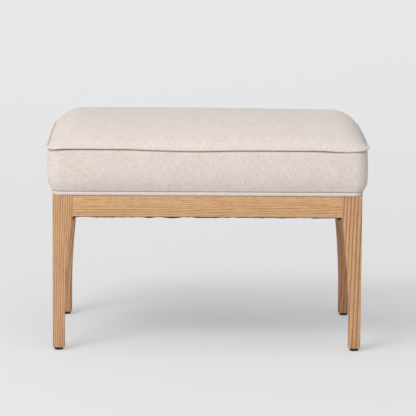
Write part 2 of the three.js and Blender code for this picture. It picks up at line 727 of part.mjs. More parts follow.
function lidScrewGeometry() {
  const bottom = STRAP_LID_Z - STRAP_THICKNESS / 2 - GAP;
  const profile = [
    [0, -1.8],
    [4.6, -1.2],
    [5.5, -0.2],
    [5.5, 0],
    [FIXING_RADIUS, 0],
    [FIXING_RADIUS, 8],
    [0, 9.5],
  ];
  return turnedPiece(profile, STRAP_LID_Y, bottom);
}

function addStraps() {
  const strap = strapGeometry().translate(STRAP_X, 0, 0);
  const pieces = [
    ["strap", strap, WEBBING],
    ["strap_bracket", bracketGeometry(), STEEL],
    ["strap_rivet", rivetGeometry(), STEEL],
    ["strap_lid_screw", lidScrewGeometry(), STEEL],
  ];
  for (const [side, sign] of SIDES)
    for (const [piece, geometry, look] of pieces) place(`${piece}_${side}`, geometry, look, sign);
}

addFrame();
addGlides();
addWalls();
addBottom();
addBoxUpholstery();
addBumpers();
addLid();
addHinges();
addStraps();

export default ottoman;
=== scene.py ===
"""Looks of the ottoman with storage: cloth, oak, lining and hardware round the CAD frame. Metres, +Z up."""

import json
import math

import bmesh
import bpy
import numpy as np
from mathutils import Matrix, Vector, noise


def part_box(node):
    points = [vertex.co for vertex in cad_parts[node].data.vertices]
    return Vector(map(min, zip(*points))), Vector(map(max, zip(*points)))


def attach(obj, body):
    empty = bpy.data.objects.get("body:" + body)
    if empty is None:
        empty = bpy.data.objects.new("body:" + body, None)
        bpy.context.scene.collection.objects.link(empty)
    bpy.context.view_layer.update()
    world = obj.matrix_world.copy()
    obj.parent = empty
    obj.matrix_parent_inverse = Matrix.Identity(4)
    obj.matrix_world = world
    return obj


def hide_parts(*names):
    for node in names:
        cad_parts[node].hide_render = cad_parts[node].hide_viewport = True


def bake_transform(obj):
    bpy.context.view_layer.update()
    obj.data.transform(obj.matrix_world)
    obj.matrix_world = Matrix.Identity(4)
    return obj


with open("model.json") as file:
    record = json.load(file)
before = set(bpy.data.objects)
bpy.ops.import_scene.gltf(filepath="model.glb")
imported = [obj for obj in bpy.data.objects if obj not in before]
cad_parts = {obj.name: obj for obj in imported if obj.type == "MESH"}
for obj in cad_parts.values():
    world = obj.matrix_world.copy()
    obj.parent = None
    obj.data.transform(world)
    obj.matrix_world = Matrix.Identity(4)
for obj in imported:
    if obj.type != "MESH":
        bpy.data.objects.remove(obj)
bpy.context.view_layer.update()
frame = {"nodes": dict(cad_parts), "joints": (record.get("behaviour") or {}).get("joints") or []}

MM = 0.001
SIDES = (("left", -1), ("right", 1))
CORNERS = (("front_left", -1, -1), ("front_right", 1, -1), ("back_left", -1, 1), ("back_right", 1, 1))

hinge = frame["joints"][0]
AXIS_Y, AXIS_Z = hinge["pos_m"][1:]
OPEN_ANGLE = math.radians(hinge["range_deg"][1])


# Camera, light and floor ----------------------------------------

CAMERA_PLACE = (-0.0546, -5.898, 1.1718)
CAMERA_YAW = math.radians(0.560)
CAMERA_PITCH = math.radians(8.766)
CAMERA_ROLL = math.radians(0.382)
HALF_VIEW = 0.0727145604  # half the width of the view, one metre from the camera
LIGHTS = {  # place, what it is aimed at, size, watts and colour
    "key": ((-2.3, -3.5, 4.1), (0, 0, 0.3), (2.4, 2.0), 147, (1.0, 0.995, 0.985)),
    "backdrop": ((0, 2.6, 3.4), (0, 6.0, 0.4), (7.0, 1.5), 30, (1, 1, 1)),
}
FLOOR_FRONT = -8.0
FLOOR_HALF_WIDTH = 9.0
SWEEP_START = 1.6  # where the sweep leaves the floor, how tightly it turns up, how far, and how it goes on
SWEEP_RADIUS = 9.0
SWEEP_TURN = math.radians(78)
SWEEP_STRAIGHT = 4.0
SWEEP_COLOUR = (0.43, 0.427, 0.43, 1)
SWEEP_GLOW = 0.325  # painted light: the sweep glows a little, though it is no lamp, so that shadows on it stay pale
GLOW_COLOUR = (1.0, 0.995, 1.0, 1)
BRIGHT_SIDE = (-0.35, -0.76, 0.66)  # the way to the brightest wall
BRIGHT_WALL = 1.22  # strength of the light from that wall, and from the dim side
DIM_WALL = 0.17
WALL_FADE = (0.0, 0.95)  # cosines of the angles from that wall where the light is dim and where it is bright
WALL_COLOUR = (0.99, 1.0, 1.0, 1)


def new_object(name, data):
    made = bpy.data.objects.new(name, data)
    bpy.context.scene.collection.objects.link(made)
    return made


def add_camera():
    """A long lens, a little above the seat and almost square to the front."""
    camera = new_object("camera", bpy.data.cameras.new("camera"))
    camera.data.angle = 2 * math.atan(HALF_VIEW)
    camera.data.clip_end = 200
    turn = Matrix.Rotation(-CAMERA_YAW, 4, "Z") @ Matrix.Rotation(math.pi / 2 - CAMERA_PITCH, 4, "X")
    camera.matrix_world = Matrix.Translation(CAMERA_PLACE) @ turn @ Matrix.Rotation(CAMERA_ROLL, 4, "Z")
    bpy.context.scene.camera = camera


def add_area_light(name, place, target, size, watts, colour):
    light = new_object(name, bpy.data.lights.new(name, "AREA"))
    light.data.shape = "RECTANGLE"
    light.data.size, light.data.size_y = size
    light.data.energy = watts
    light.data.color = colour
    aim = Vector(target) - Vector(place)
    light.matrix_world = Matrix.Translation(place) @ aim.to_track_quat("-Z", "Y").to_matrix().to_4x4()


def add_sweep():
    """A pale sweep: flat round the object, curving up behind it, with a faint painted glow that keeps its
    shadows pale.
    """
    curve = [(FLOOR_FRONT, 0.0)]
    for angle in np.linspace(0, SWEEP_TURN, 40):
        curve.append((SWEEP_START + SWEEP_RADIUS * math.sin(angle), SWEEP_RADIUS * (1 - math.cos(angle))))
    y, z = curve[-1]
    curve.append((y + SWEEP_STRAIGHT * math.cos(SWEEP_TURN), z + SWEEP_STRAIGHT * math.sin(SWEEP_TURN)))
    vertices = [(side * FLOOR_HALF_WIDTH, y, z) for y, z in curve for side in (-1, 1)]
    faces = [(2 * i, 2 * i + 1, 2 * i + 3, 2 * i + 2) for i in range(len(curve) - 1)]
    sweep = new_object("sweep", bpy.data.meshes.new("sweep"))
    sweep.data.from_pydata(vertices, [], faces)
    sweep.data.shade_smooth()
    g = Graph("pale_sweep_painted_glow")
    g.surface(SWEEP_COLOUR, 0.8, specular=0.1)
    # painted light: the sweep's own surface glows faintly, though it is no lamp
    g.shader.inputs["Emission Color"].default_value = GLOW_COLOUR
    g.shader.inputs["Emission Strength"].default_value = SWEEP_GLOW
    sweep.data.materials.append(g.material)


def studio_walls():
    """Light from all round, as from pale walls: brightest above the front left and dim at the back right."""
    world = bpy.data.worlds.new("studio")
    world.use_nodes = True
    nodes, links = world.node_tree.nodes, world.node_tree.links
    direction = nodes.new("ShaderNodeTexCoord").outputs["Generated"]
    facing = nodes.new("ShaderNodeVectorMath")
    facing.operation = "DOT_PRODUCT"
    facing.inputs[1].default_value = Vector(BRIGHT_SIDE).normalized()
    strength = nodes.new("ShaderNodeMapRange")
    strength.interpolation_type = "SMOOTHSTEP"
    for index, value in enumerate((*WALL_FADE, DIM_WALL, BRIGHT_WALL), start=1):
        strength.inputs[index].default_value = value
    links.new(direction, facing.inputs[0])
    links.new(facing.outputs["Value"], strength.inputs[0])
    links.new(strength.outputs[0], nodes["Background"].inputs["Strength"])
    nodes["Background"].inputs["Color"].default_value = WALL_COLOUR
    return world


def add_studio():
    scene = bpy.context.scene
    scene.view_settings.view_transform = "Standard"
    scene.world = studio_walls()
    for name, settings in LIGHTS.items():
        add_area_light(name, *settings)
    add_sweep()


# Node graphs ----------------------------------------------------

class Value:
    """An output in a material's node tree. Sums with it add nodes to the tree."""

    def __init__(self, graph, socket):
        self.graph = graph
        self.socket = socket

    def __add__(self, other):
        return self.graph.math("ADD", self, other)

    def __sub__(self, other):
        return self.graph.math("SUBTRACT", self, other)

    def __rsub__(self, other):
        return self.graph.math("SUBTRACT", other, self)

    def __mul__(self, other):
        return self.graph.math("MULTIPLY", self, other)

    def __truediv__(self, other):
        return self.graph.math("DIVIDE", self, other)

    def __abs__(self):
        return self.graph.math("ABSOLUTE", self)


class Graph:
    """A material's node tree, written as expressions. Numbers, tuples and Values can all be inputs."""

    def __init__(self, name):
        self.material = bpy.data.materials.new(name)
        self.material.use_nodes = True
        self.tree = self.material.node_tree
        self.shader = self.tree.nodes["Principled BSDF"]

    def feed(self, node, index, value):
        if isinstance(value, Value):
            self.tree.links.new(value.socket, node.inputs[index])
        elif value is not None:
            node.inputs[index].default_value = value

    def node(self, kind, output, inputs=(), **settings):
        made = self.tree.nodes.new(kind)
        for key, value in settings.items():
            setattr(made, key, value)
        for index, value in dict(inputs).items():
            self.feed(made, index, value)
        return Value(self, made.outputs[output])

    def math(self, operation, a, b=None):
        return self.node("ShaderNodeMath", 0, {0: a, 1: b}, operation=operation)

    def wave(self, a, pitch):
        """A sine whose half waves are pitch long."""
        return self.math("SINE", a * (math.pi / pitch))

    def length(self, a):
        return self.node("ShaderNodeVectorMath", "Value", {0: a}, operation="LENGTH")

    def stretched(self, a, scale):
        return self.node("ShaderNodeVectorMath", 0, {0: a, 1: scale}, operation="MULTIPLY")

    def turned(self, a, rotation):
        return self.node("ShaderNodeMapping", 0, {0: a, 2: rotation})

    def split(self, a):
        separate = self.node("ShaderNodeSeparateXYZ", 0, {0: a}).socket.node
        return [Value(self, socket) for socket in separate.outputs]

    def combine(self, x, y, z=0.0):
        return self.node("ShaderNodeCombineXYZ", 0, {0: x, 1: y, 2: z})

    def place(self):
        return self.node("ShaderNodeTexCoord", "Object")

    def cloth_place(self):
        return self.node("ShaderNodeTexCoord", "UV")

    def noise(self, place, scale=1.0, detail=2.0, roughness=0.5, distortion=0.0):
        inputs = {"Vector": place, "Scale": scale, "Detail": detail, "Roughness": roughness}
        return self.node("ShaderNodeTexNoise", "Fac", {**inputs, "Distortion": distortion})

    def spread(self, a, low, high, to_low=0.0, to_high=1.0):
        inputs = {0: a, 1: low, 2: high, 3: to_low, 4: to_high}
        return self.node("ShaderNodeMapRange", 0, inputs, interpolation_type="SMOOTHSTEP")

    def blend(self, share, a, b, kind="MIX"):
        return self.node("ShaderNodeMix", 2, {0: share, 6: a, 7: b}, data_type="RGBA", blend_type=kind)

    def bump(self, height, distance, strength):
        return self.node("ShaderNodeBump", 0, {"Strength": strength, "Distance": distance, "Height": height})

    def surface(self, colour, roughness, normal=None, sheen=0.0, specular=0.5, metallic=0.0):
        self.feed(self.shader, "Base Color", colour)
        self.feed(self.shader, "Roughness", roughness)
        self.feed(self.shader, "Normal", normal)
        self.shader.inputs["Sheen Weight"].default_value = sheen
        self.shader.inputs["Sheen Roughness"].default_value = 0.6
        self.shader.inputs["Specular IOR Level"].default_value = specular
        self.shader.inputs["Metallic"].default_value = metallic


def grey(tone):
    return (tone, tone, tone, 1)


# Materials ------------------------------------------------------

LINEN_DARK = (0.560, 0.485, 0.441, 1)
LINEN_LIGHT = (0.747, 0.668, 0.621, 1)
LINEN_PITCH = 0.75 * MM
ACROSS_YARN, ALONG_YARN = 620, 70  # how fast the yarn's thickness varies across the threads and along them
OAK_LIGHT = (0.655, 0.400, 0.208)
OAK_MIDDLE = (0.520, 0.292, 0.132)
OAK_DARK = (0.225, 0.098, 0.045)


def weave(g, u, v, pitch):
    """Plain weave: (height, which set of threads is on top) for cloth coordinates u and v in metres."""
    warp, weft = g.wave(u, pitch), g.wave(v, pitch)
    over = warp * weft * 0.5 + 0.5
    return g.math("MAXIMUM", abs(warp) * over, abs(weft) * (1.0 - over)), over


def linen(name, bias=0.0):
    """An uneven plain weave of slubby two-tone yarn, with painted shade where the threads dip. bias turns the
    threads, as on cord cut on the cross.
    """
    g = Graph(name)
    place = g.turned(g.cloth_place(), (0, 0, bias))
    wander = g.noise(place, 90, 1) * (0.5 * MM)
    u, v, _ = g.split(place)
    u, v = u + wander, v - wander
    height, over = weave(g, u, v, LINEN_PITCH)
    warp_yarn = g.noise(g.combine(u * ACROSS_YARN, v * ALONG_YARN), 1, 3, 0.65)
    weft_yarn = g.noise(g.combine(u * ALONG_YARN, v * ACROSS_YARN, 7.0), 1, 3, 0.65)
    slub = g.spread(over * (warp_yarn - weft_yarn) + weft_yarn, 0.30, 0.70)
    mottle = g.noise(place, 26, 4, 0.6)
    # painted shade: the colour darkens where the weave is low, in the hollows between the threads
    hollow = g.spread(height, 0.0, 0.55, 0.80, 1.0)
    colour = g.blend((mottle - 0.5) * 0.55 + slub, LINEN_DARK, LINEN_LIGHT)
    colour = g.blend(1.0, colour, g.combine(hollow, hollow, hollow), "MULTIPLY")
    fuzz = g.noise(place, 2600, 2)
    relief = fuzz * 0.25 + slub * 0.5 + height
    g.surface(colour, 0.92, g.bump(relief, 0.16 * MM, 0.8), sheen=0.25, specular=0.2)
    return g.material


def oak(name, grain_axis, heart, lean=(0.0, 0.0), tint_and_shade=(1, 1, 1), ring_width=2.4 * MM, bold=0.0):
    """Solid oak, from a log whose heart runs along grain_axis at heart, the other two coordinates in metres.

    lean tilts the heart, so that the rings run out on the face. bold, 0 to 1, makes the rings dark, even and
    unbroken. Rings, pores and fibres are all solid textures.
    """
    g = Graph(name)
    x, y, z = g.split(g.place())
    along, a, b = {"X": (x, y, z), "Y": (y, x, z), "Z": (z, x, y)}[grain_axis]
    a = a - heart[0] - along * lean[0]
    b = b - heart[1] - along * lean[1]
    log = g.combine(along, a, b)
    slow = g.stretched(log, (3.2, 26, 26))
    wander = (g.noise(slow, 1, 3, 0.55) - 0.5) * ((8.5 - 4.0 * bold) * MM)
    ring = (g.length(g.combine(a, b)) + wander) / ring_width
    phase = g.math("FRACT", ring)
    early = g.spread(phase, 0.0, 0.12) * g.spread(phase, 0.62 - 0.14 * bold, 0.20)
    year = g.noise(g.combine(g.math("FLOOR", ring), 0.0), 7.3, 0)
    early = early * g.spread(year, 0.25, 0.75, 0.30 + 0.5 * bold, 1.0)
    broken = g.noise(g.stretched(log, (22, 300, 300)))
    early = early * g.spread(broken, 0.30, 0.65, 0.35 + 0.45 * bold, 1.0)
    fibre = g.noise(g.stretched(log, (14, 620, 620)), 1, 3, 0.65)
    pore = g.noise(g.stretched(log, (75, 1500, 1500)), 1, 1)
    pore = g.spread(early * 0.16 + pore, 0.56, 0.68)
    broad = g.noise(slow, 0.6, 2)
    # tint_and_shade scales the wood's colours; where it darkens a leg, that is painted shade for the lesser
    # light there
    light, middle, dark = [(*np.multiply(tone, tint_and_shade), 1) for tone in (OAK_LIGHT, OAK_MIDDLE, OAK_DARK)]
    colour = g.blend(g.spread(fibre, 0.30, 0.70), middle, light)
    colour = g.blend(early * (0.78 + 0.14 * bold), colour, dark)
    colour = g.blend(pore * 0.50, colour, dark)
    colour = g.blend(g.spread(broad, 0.35, 0.75, 0.0, 0.25), colour, middle)
    height = fibre * 0.25 - pore * 0.9
    g.surface(colour, pore * 0.2 + 0.46, g.bump(height, 0.10 * MM, 0.5), specular=0.35)
    return g.material


def plywood(name):
    """Pale veneer with plies that show as bands where the sheet is cut."""
    g = Graph(name)
    fibre = g.noise(g.stretched(g.place(), (12, 400, 400)), 1, 3)
    height = g.split(g.place())[2]
    ply = g.spread(g.math("FRACT", height / (2.8 * MM)), 0.42, 0.58)
    colour = g.blend(fibre, (0.52, 0.38, 0.22, 1), (0.74, 0.60, 0.40, 1))
    colour = g.blend(ply * 0.15, colour, (0.36, 0.23, 0.12, 1))
    g.surface(colour, 0.7, g.bump(fibre, 0.1 * MM, 0.4))
    return g.material


def plain_cloth(name, dark, light, pitch):
    """A thin machine-woven cloth, for the linings and the dust cover."""
    g = Graph(name)
    u, v, _ = g.split(g.cloth_place())
    height, over = weave(g, u, v, pitch)
    mottle = g.noise(g.cloth_place(), 60, 3)
    tone = over * 0.4 + mottle * 0.6
    g.surface(g.blend(tone, dark, light), 0.95, g.bump(height, 0.12 * MM, 0.7), sheen=0.1)
    return g.material


def lining_cotton(name):
    return plain_cloth(name, (0.40, 0.36, 0.31, 1), (0.56, 0.51, 0.45, 1), 0.7 * MM)


def webbing(name):
    """Cotton webbing: ribs across the strap, with painted shade in the grooves between them, and a darker
    thread along each edge.
    """
    g = Graph(name)
    u, v, _ = g.split(g.cloth_place())
    rib = abs(g.wave(u, 1.1 * MM))
    herringbone = abs(g.wave(u + v, 1.6 * MM))
    edge = g.spread(abs(v), 5.4 * MM, 6.2 * MM)
    # painted shade: the colour darkens in the grooves between the ribs
    colour = g.blend(g.spread(rib, 0.1, 0.8), (0.30, 0.25, 0.20, 1), (0.55, 0.48, 0.40, 1))
    colour = g.blend(edge * 0.35, colour, (0.24, 0.19, 0.15, 1))
    g.surface(colour, 0.9, g.bump(herringbone * 0.5 + rib, 0.2 * MM, 0.8), sheen=0.15)
    return g.material


def felt(name, dark, light, scale=1400):
    g = Graph(name)
    tangle = g.noise(g.place(), scale, 4, 0.7, 1.5)
    g.surface(g.blend(tangle, dark, light), 1.0, g.bump(tangle, 0.3 * MM, 0.7), sheen=0.4)
    return g.material


def foam(name):
    """Open-cell polyurethane foam."""
    g = Graph(name)
    cells = g.node("ShaderNodeTexVoronoi", "Distance", {"Vector": g.place(), "Scale": 900.0})
    colour = g.blend(g.spread(cells, 0.1, 0.7), (0.92, 0.84, 0.58, 1), (0.70, 0.60, 0.36, 1))
    g.surface(colour, 1.0, g.bump(cells, 0.4 * MM, 0.6))
    return g.material


def steel(name, tone=0.55, roughness=0.34):
    """Zinc-plated steel with faint rolling marks."""
    g = Graph(name)
    marks = g.noise(g.stretched(g.place(), (40, 1500, 1500)), 1, 3)
    cloud = g.noise(g.place(), 120, 3)
    colour = g.blend(cloud, (tone * 0.86, tone * 0.85, tone * 0.80, 1), (tone, tone, tone * 0.97, 1))
    g.surface(colour, marks * 0.22 + (roughness - 0.1), g.bump(marks, 0.02 * MM, 0.4), metallic=1.0)
    return g.material


def screw_steel(name):
    """Steel with a cross recess, painted dark as shade where the driver fits. Cloth places start at each
    head's middle.
    """
    g = Graph(name)
    u, v = [abs(c) for c in g.split(g.cloth_place())[:2]]
    arms = []
    for across, along in ((u, v), (v, u)):
        narrow = g.spread(across, 0.22 * MM, 0.34 * MM, 1.0, 0.0)
        arms.append(narrow * g.spread(along, 1.15 * MM, 1.35 * MM, 1.0, 0.0))
    recess = g.math("MAXIMUM", *arms)
    marks = g.noise(g.place(), 900, 3)
    # painted shade: the recess is coloured near black, as the shade inside it
    colour = g.blend(recess, g.blend(marks, grey(0.46), grey(0.60)), grey(0.05))
    g.surface(colour, marks * 0.2 + 0.22, g.bump(recess, -0.5 * MM, 0.8), metallic=1.0)
    return g.material


def moulded_plastic(name):
    g = Graph(name)
    grain = g.noise(g.place(), 3000, 2)
    scuff = g.noise(g.place(), 300, 4, 0.7)
    colour = g.blend(g.spread(scuff, 0.5, 0.8), (0.010, 0.008, 0.007, 1), (0.045, 0.036, 0.030, 1))
    g.surface(colour, g.spread(scuff, 0.4, 0.8, 0.38, 0.62), g.bump(grain, 0.03 * MM, 0.5))
    return g.material


# Mesh building --------------------------------------------------

def grid(points, u, v, wrap_u=False, wrap_v=False):
    """(vertices, faces, corner uvs) of a grid of points[row][column]. u goes by column and v by row."""
    rows, columns = points.shape[:2]
    faces, uvs = [], []
    for r in range(rows if wrap_v else rows - 1):
        for c in range(columns if wrap_u else columns - 1):
            r2, c2 = (r + 1) % rows, (c + 1) % columns
            faces.append((r * columns + c, r * columns + c2, r2 * columns + c2, r2 * columns + c))
            uvs += [(u[c], v[r]), (u[c + 1], v[r]), (u[c + 1], v[r + 1]), (u[c], v[r + 1])]
    return points.reshape(-1, 3), faces, uvs


def together(parts):
    """Several (vertices, faces, uvs) as one."""
    vertices, faces, uvs = [], [], []
    for part_vertices, part_faces, part_uvs in parts:
        start = len(vertices)
        vertices += [tuple(p) for p in part_vertices]
        faces += [tuple(i + start for i in face) for face in part_faces]
        uvs += list(part_uvs)
    return vertices, faces, uvs


def raised(plan, z=0.0):
    """Points in plan lifted to height z, which is one number or one for each point."""
    return np.column_stack([plan, np.zeros(len(plan)) + z])


def swept(plan, normals, section):
    """A section of (out, up) carried round a plan. Each is one number, or one for each point of the plan."""
    return np.array([raised(plan + normals * np.reshape(out, (-1, 1)), up) for out, up in section])


def axis_point(low, high, z):
    """The point at height z on the upright axis through the middle of a box."""
    return (low.x + high.x) / 2, (low.y + high.y) / 2, z


def piece(name, part, look, body, replaces=(), thickness=0.0, sharp=35.0):
    """A finished piece: its mesh, welded, facing out, shaded, with its material, body and CAD nodes."""
    vertices, faces, uvs = part
    mesh = bpy.data.meshes.new(name)
    mesh.from_pydata([tuple(p) for p in vertices], [], faces)
    layer = mesh.uv_layers.new(name="cloth")
    if uvs:
        layer.data.foreach_set("uv", np.array(uvs, np.float32).ravel())
    made = bmesh.new()
    made.from_mesh(mesh)
    bmesh.ops.remove_doubles(made, verts=made.verts, dist=1e-6)
    bmesh.ops.recalc_face_normals(made, faces=made.faces)
    for face in made.faces:
        face.smooth = True
    for edge in made.edges:
        if edge.is_manifold and edge.calc_face_angle(0) > math.radians(sharp):
            edge.smooth = False
    made.to_mesh(mesh)
    made.free()
    mesh.materials.append(look)
    obj = new_object(name, mesh)
    if thickness:
        shell = obj.modifiers.new("cloth", "SOLIDIFY")
        shell.thickness = abs(thickness)
        shell.offset = -1 if thickness > 0 else 1
    if body:
        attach(obj, body)
    if replaces:
        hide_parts(*replaces)
    return obj


def loft(rings):
    """(vertices, faces, uvs) of closed rings of equally many points, skinned and capped."""
    rings = np.array(rings, float)
    rows, count = rings.shape[:2]
    vertices, faces, uvs = grid(rings, np.arange(count + 1) * MM, np.arange(rows) * MM, wrap_u=True)
    bottom = tuple(range(count))[::-1]
    top = tuple((rows - 1) * count + i for i in range(count))
    return vertices, faces + [bottom, top], uvs + [(0, 0)] * (2 * count)


def lathe(profile, centre, sides=32):
    """A closed profile of (radius, height) points turned about a vertical axis through centre."""
    radius, height = np.array(profile, float).T
    angle = np.linspace(0, 2 * math.pi, sides, endpoint=False)
    points = np.stack([
        centre[0] + np.outer(radius, np.cos(angle)),
        centre[1] + np.outer(radius, np.sin(angle)),
        centre[2] + np.outer(height, np.ones(sides)),
    ], axis=-1)
    steps = np.arange(len(radius) + 1) * MM
    return grid(points, np.arange(sides + 1) * MM, steps, wrap_u=True)


def rounded_rectangle(half_x, half_y, radius, spacing, corner_steps=12):
    """A rounded rectangle in plan, anticlockwise from its first rounded corner: (points, outward normals)."""
    points, normals = [], []
    for corner, (sx, sy) in enumerate(((1, 1), (-1, 1), (-1, -1), (1, -1))):
        centre = np.array([sx * (half_x - radius), sy * (half_y - radius)])
        for step in range(corner_steps + 1):
            angle = math.pi / 2 * (corner + step / corner_steps)
            normal = np.array([math.cos(angle), math.sin(angle)])
            points.append(centre + radius * normal)
            normals.append(normal)
        along = (half_x if corner % 2 == 0 else half_y) - radius
        steps = max(1, round(2 * along / spacing))
        heading = np.array([-normals[-1][1], normals[-1][0]])
        for step in range(1, steps):
            points.append(points[-1] + heading * 2 * along / steps)
            normals.append(normals[-1])
    return np.array(points), np.array(normals)


def travelled(points, closed=True):
    """Distance along a line of points, with one more entry if it closes."""
    line = np.vstack([points, points[:1]]) if closed else points
    return np.concatenate([[0], np.cumsum(np.linalg.norm(np.diff(line, axis=0), axis=1))])


def ripple(points, scale, seed):
    """Smooth noise from -1 to 1 at each point."""
    return np.array([noise.noise(Vector(p) * scale + Vector((seed, seed * 2.3, 0))) for p in points])


def smoothstep(x, low, high):
    t = np.clip((np.asarray(x, float) - low) / (high - low), 0, 1)
    return t * t * (3 - 2 * t)


def bell(x, centre, width):
    return np.exp(-(((np.asarray(x, float) - centre) / width) ** 2))


# Oak frame ------------------------------------------------------

EDGE = 1.3 * MM  # softening of the oak's edges
FOOT_SHARE = 0.6  # width of a leg's foot, as a share of its top
CURVE_FOOT = 0.060  # height where the hollow curve of a leg begins, and height of the point that pulls it
CURVE_PULL = 0.149
RAIL_GAP = 0.15 * MM  # between the end of a rail and the leg
LEG_OAK = {  # heart of the log, its lean, tint (the darker ones, on the back legs and the front right leg, are painted shade), ring width and boldness
    "front_left": ((-0.190, -0.260), (0.010, -0.02), (0.94, 0.93, 0.97), 3.9 * MM, 0.8),
    "front_right": ((0.350, -0.255), (0.055, 0.03), (0.90, 0.86, 0.87), 6.2 * MM, 1.0),
    "back_left": ((-0.330, 0.105), (0.02, 0.01), (0.86, 0.80, 0.80), 3.2 * MM, 0.5),
    "back_right": ((0.260, 0.300), (0.01, -0.03), (0.80, 0.70, 0.70), 3.2 * MM, 0.5),
}
RAIL_OAK = {  # heart of the log and its lean
    "front": ((-0.265, 0.245), (0.006, 0.015)),
    "back": ((0.230, 0.262), (0.004, 0.01)),
    "left": ((-0.360, 0.335), (0.01, 0.0)),
    "right": ((0.262, 0.225), (0.01, 0.02)),
}


def soft_square(low, high, z, radius=EDGE):
    """A rectangular section from low to high, with softened corners, at height z."""
    low, high = np.array(low), np.array(high)
    return raised((low + high) / 2 + rounded_rectangle(*(high - low) / 2, radius, math.inf, 3)[0], z)


def add_leg(corner, sx, sy):
    """A leg with upright outer faces. The inner faces curve in from the rails to a straight, narrow foot."""
    apron_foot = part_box("apron_front")[0].z
    low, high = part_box(f"leg_{corner}")
    outer = np.array([high.x if sx > 0 else low.x, high.y if sy > 0 else low.y])
    top_width = high.x - low.x
    foot_width = top_width * FOOT_SHARE

    def section(width, z, inset=0.0, radius=EDGE):
        inner = outer - np.array([sx, sy]) * width
        return soft_square(np.minimum(outer, inner) + inset, np.maximum(outer, inner) - inset, z, radius)

    rings = [section(foot_width, low.z, EDGE), section(foot_width, low.z + EDGE * 0.3, EDGE * 0.3)]
    rings.append(section(foot_width, low.z + EDGE))
    for t in np.linspace(0, 1, 25):
        width = (1 - t * t) * foot_width + t * t * top_width
        z = (1 - t) ** 2 * CURVE_FOOT + 2 * t * (1 - t) * CURVE_PULL + t * t * apron_foot
        rings.append(section(width, z))
    for z in (apron_foot + EDGE, high.z):
        rings.append(section(top_width, z, radius=EDGE * 0.3))
    look = oak(f"oak_leg_{corner}", "Z", *LEG_OAK[corner])
    piece(f"oak_leg_{corner}", loft(rings), look, "base", [f"leg_{corner}"])


def add_rails():
    leg_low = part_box("leg_back_right")[0]
    for side, (heart, lean) in RAIL_OAK.items():
        low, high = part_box(f"apron_{side}")
        long_rail = side in ("front", "back")
        half = (leg_low.x if long_rail else leg_low.y) - RAIL_GAP
        across = (low.y, high.y) if long_rail else (low.x, high.x)
        section = soft_square((across[0], low.z), (across[1], high.z), 0, EDGE * 0.8)
        rings = []
        for end in (-half, -half + 0.2 * MM, half - 0.2 * MM, half):
            rings.append([(end, a, b) if long_rail else (a, end, b) for a, b, _ in section])
        look = oak(f"oak_rail_{side}", "X" if long_rail else "Y", heart, lean, ring_width=2.7 * MM, bold=0.15)
        piece(f"oak_rail_{side}", loft(rings), look, "base", [f"apron_{side}"])


def add_glides():
    look = moulded_plastic("glide_plastic")
    for corner, _, _ in CORNERS:
        low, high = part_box(f"glide_{corner}")
        radius = (high.x - low.x) / 2
        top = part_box(f"leg_{corner}")[0].z - 0.1 * MM
        profile = [(0, 0), (radius * 0.70, 0), (radius * 0.86, 0.3 * MM), (radius * 0.96, 1.1 * MM)]
        profile += [(radius, 2.4 * MM), (radius, top - 0.5 * MM), (radius - 0.5 * MM, top), (0, top)]
        part = lathe(profile, axis_point(low, high, 0))
        piece(f"moulded_glide_{corner}", part, look, "base", [f"glide_{corner}"])


# Upholstered box ------------------------------------------------

WALL_RADIUS = 12 * MM  # plan radius of the cloth against the walls
CLOTH = 0.9 * MM  # thickness of the upholstery linen
EDGE_ROLL = 3.8 * MM  # the padded edge that the lid closes on: its roundness, and its height above the rim
EDGE_LIFT = 3.8 * MM
BELLY = 2.4 * MM  # how far the long sides of the boxing swell at mid-height
WELT_DEPTH = 3.4 * MM  # half the depth of the lower welt, front to back
# dips of the seam along the front: place and width in metres, depth in mm
SEAM_DIPS = ((-0.030, 0.065, 1.9), (0.277, 0.032, 2.5), (-0.322, 0.022, 2.4))


def band(profile, half_x, half_y, radius, spacing):
    """A band round a rounded rectangle, from (offset, height) points: (grid of points, plan, normals)."""
    plan, normals = rounded_rectangle(half_x, half_y, radius, spacing)
    corner_centre = np.array([half_x - radius, half_y - radius])
    rows = []
    for offset, z in profile:
        reach = max(radius + offset, 0.4 * MM)
        tuck = reach - radius - offset
        xy = plan + normals * (reach - radius)
        if tuck > 0:
            xy = xy - np.sign(plan) * tuck * (np.abs(xy) >= corner_centre - 1e-6)
        rows.append(raised(xy, z))
    return np.array(rows), plan, normals


def corner_ears(x, y):
    """1 where the cord has just turned a front corner, where its stiffness lifts it, fading to 0 beyond."""
    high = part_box("upper_welt")[1]
    return bell(np.hypot(np.abs(x) - high.x, y + high.y - 20 * MM), 0, 13 * MM)


def seam_wave(plan):
    """How far the seam between lid and box wanders up or down at each plan point, as hand-laid cord does."""
    x, y = plan[:, 0], plan[:, 1]
    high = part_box("upper_welt")[1]
    front = smoothstep(-y, high.y - 24 * MM, high.y - 3 * MM)
    line = -2.1 + 1.5 * smoothstep(-x, 0.10, 0.17)
    for place, width, depth in SEAM_DIPS:
        line -= depth * bell(x, place, width)
    drift = 0.5 * ripple(raised(plan[:, :2]), 9, 2.0)
    return MM * (line * front + (drift + 1.6 * corner_ears(x, y)) * (1 - front))


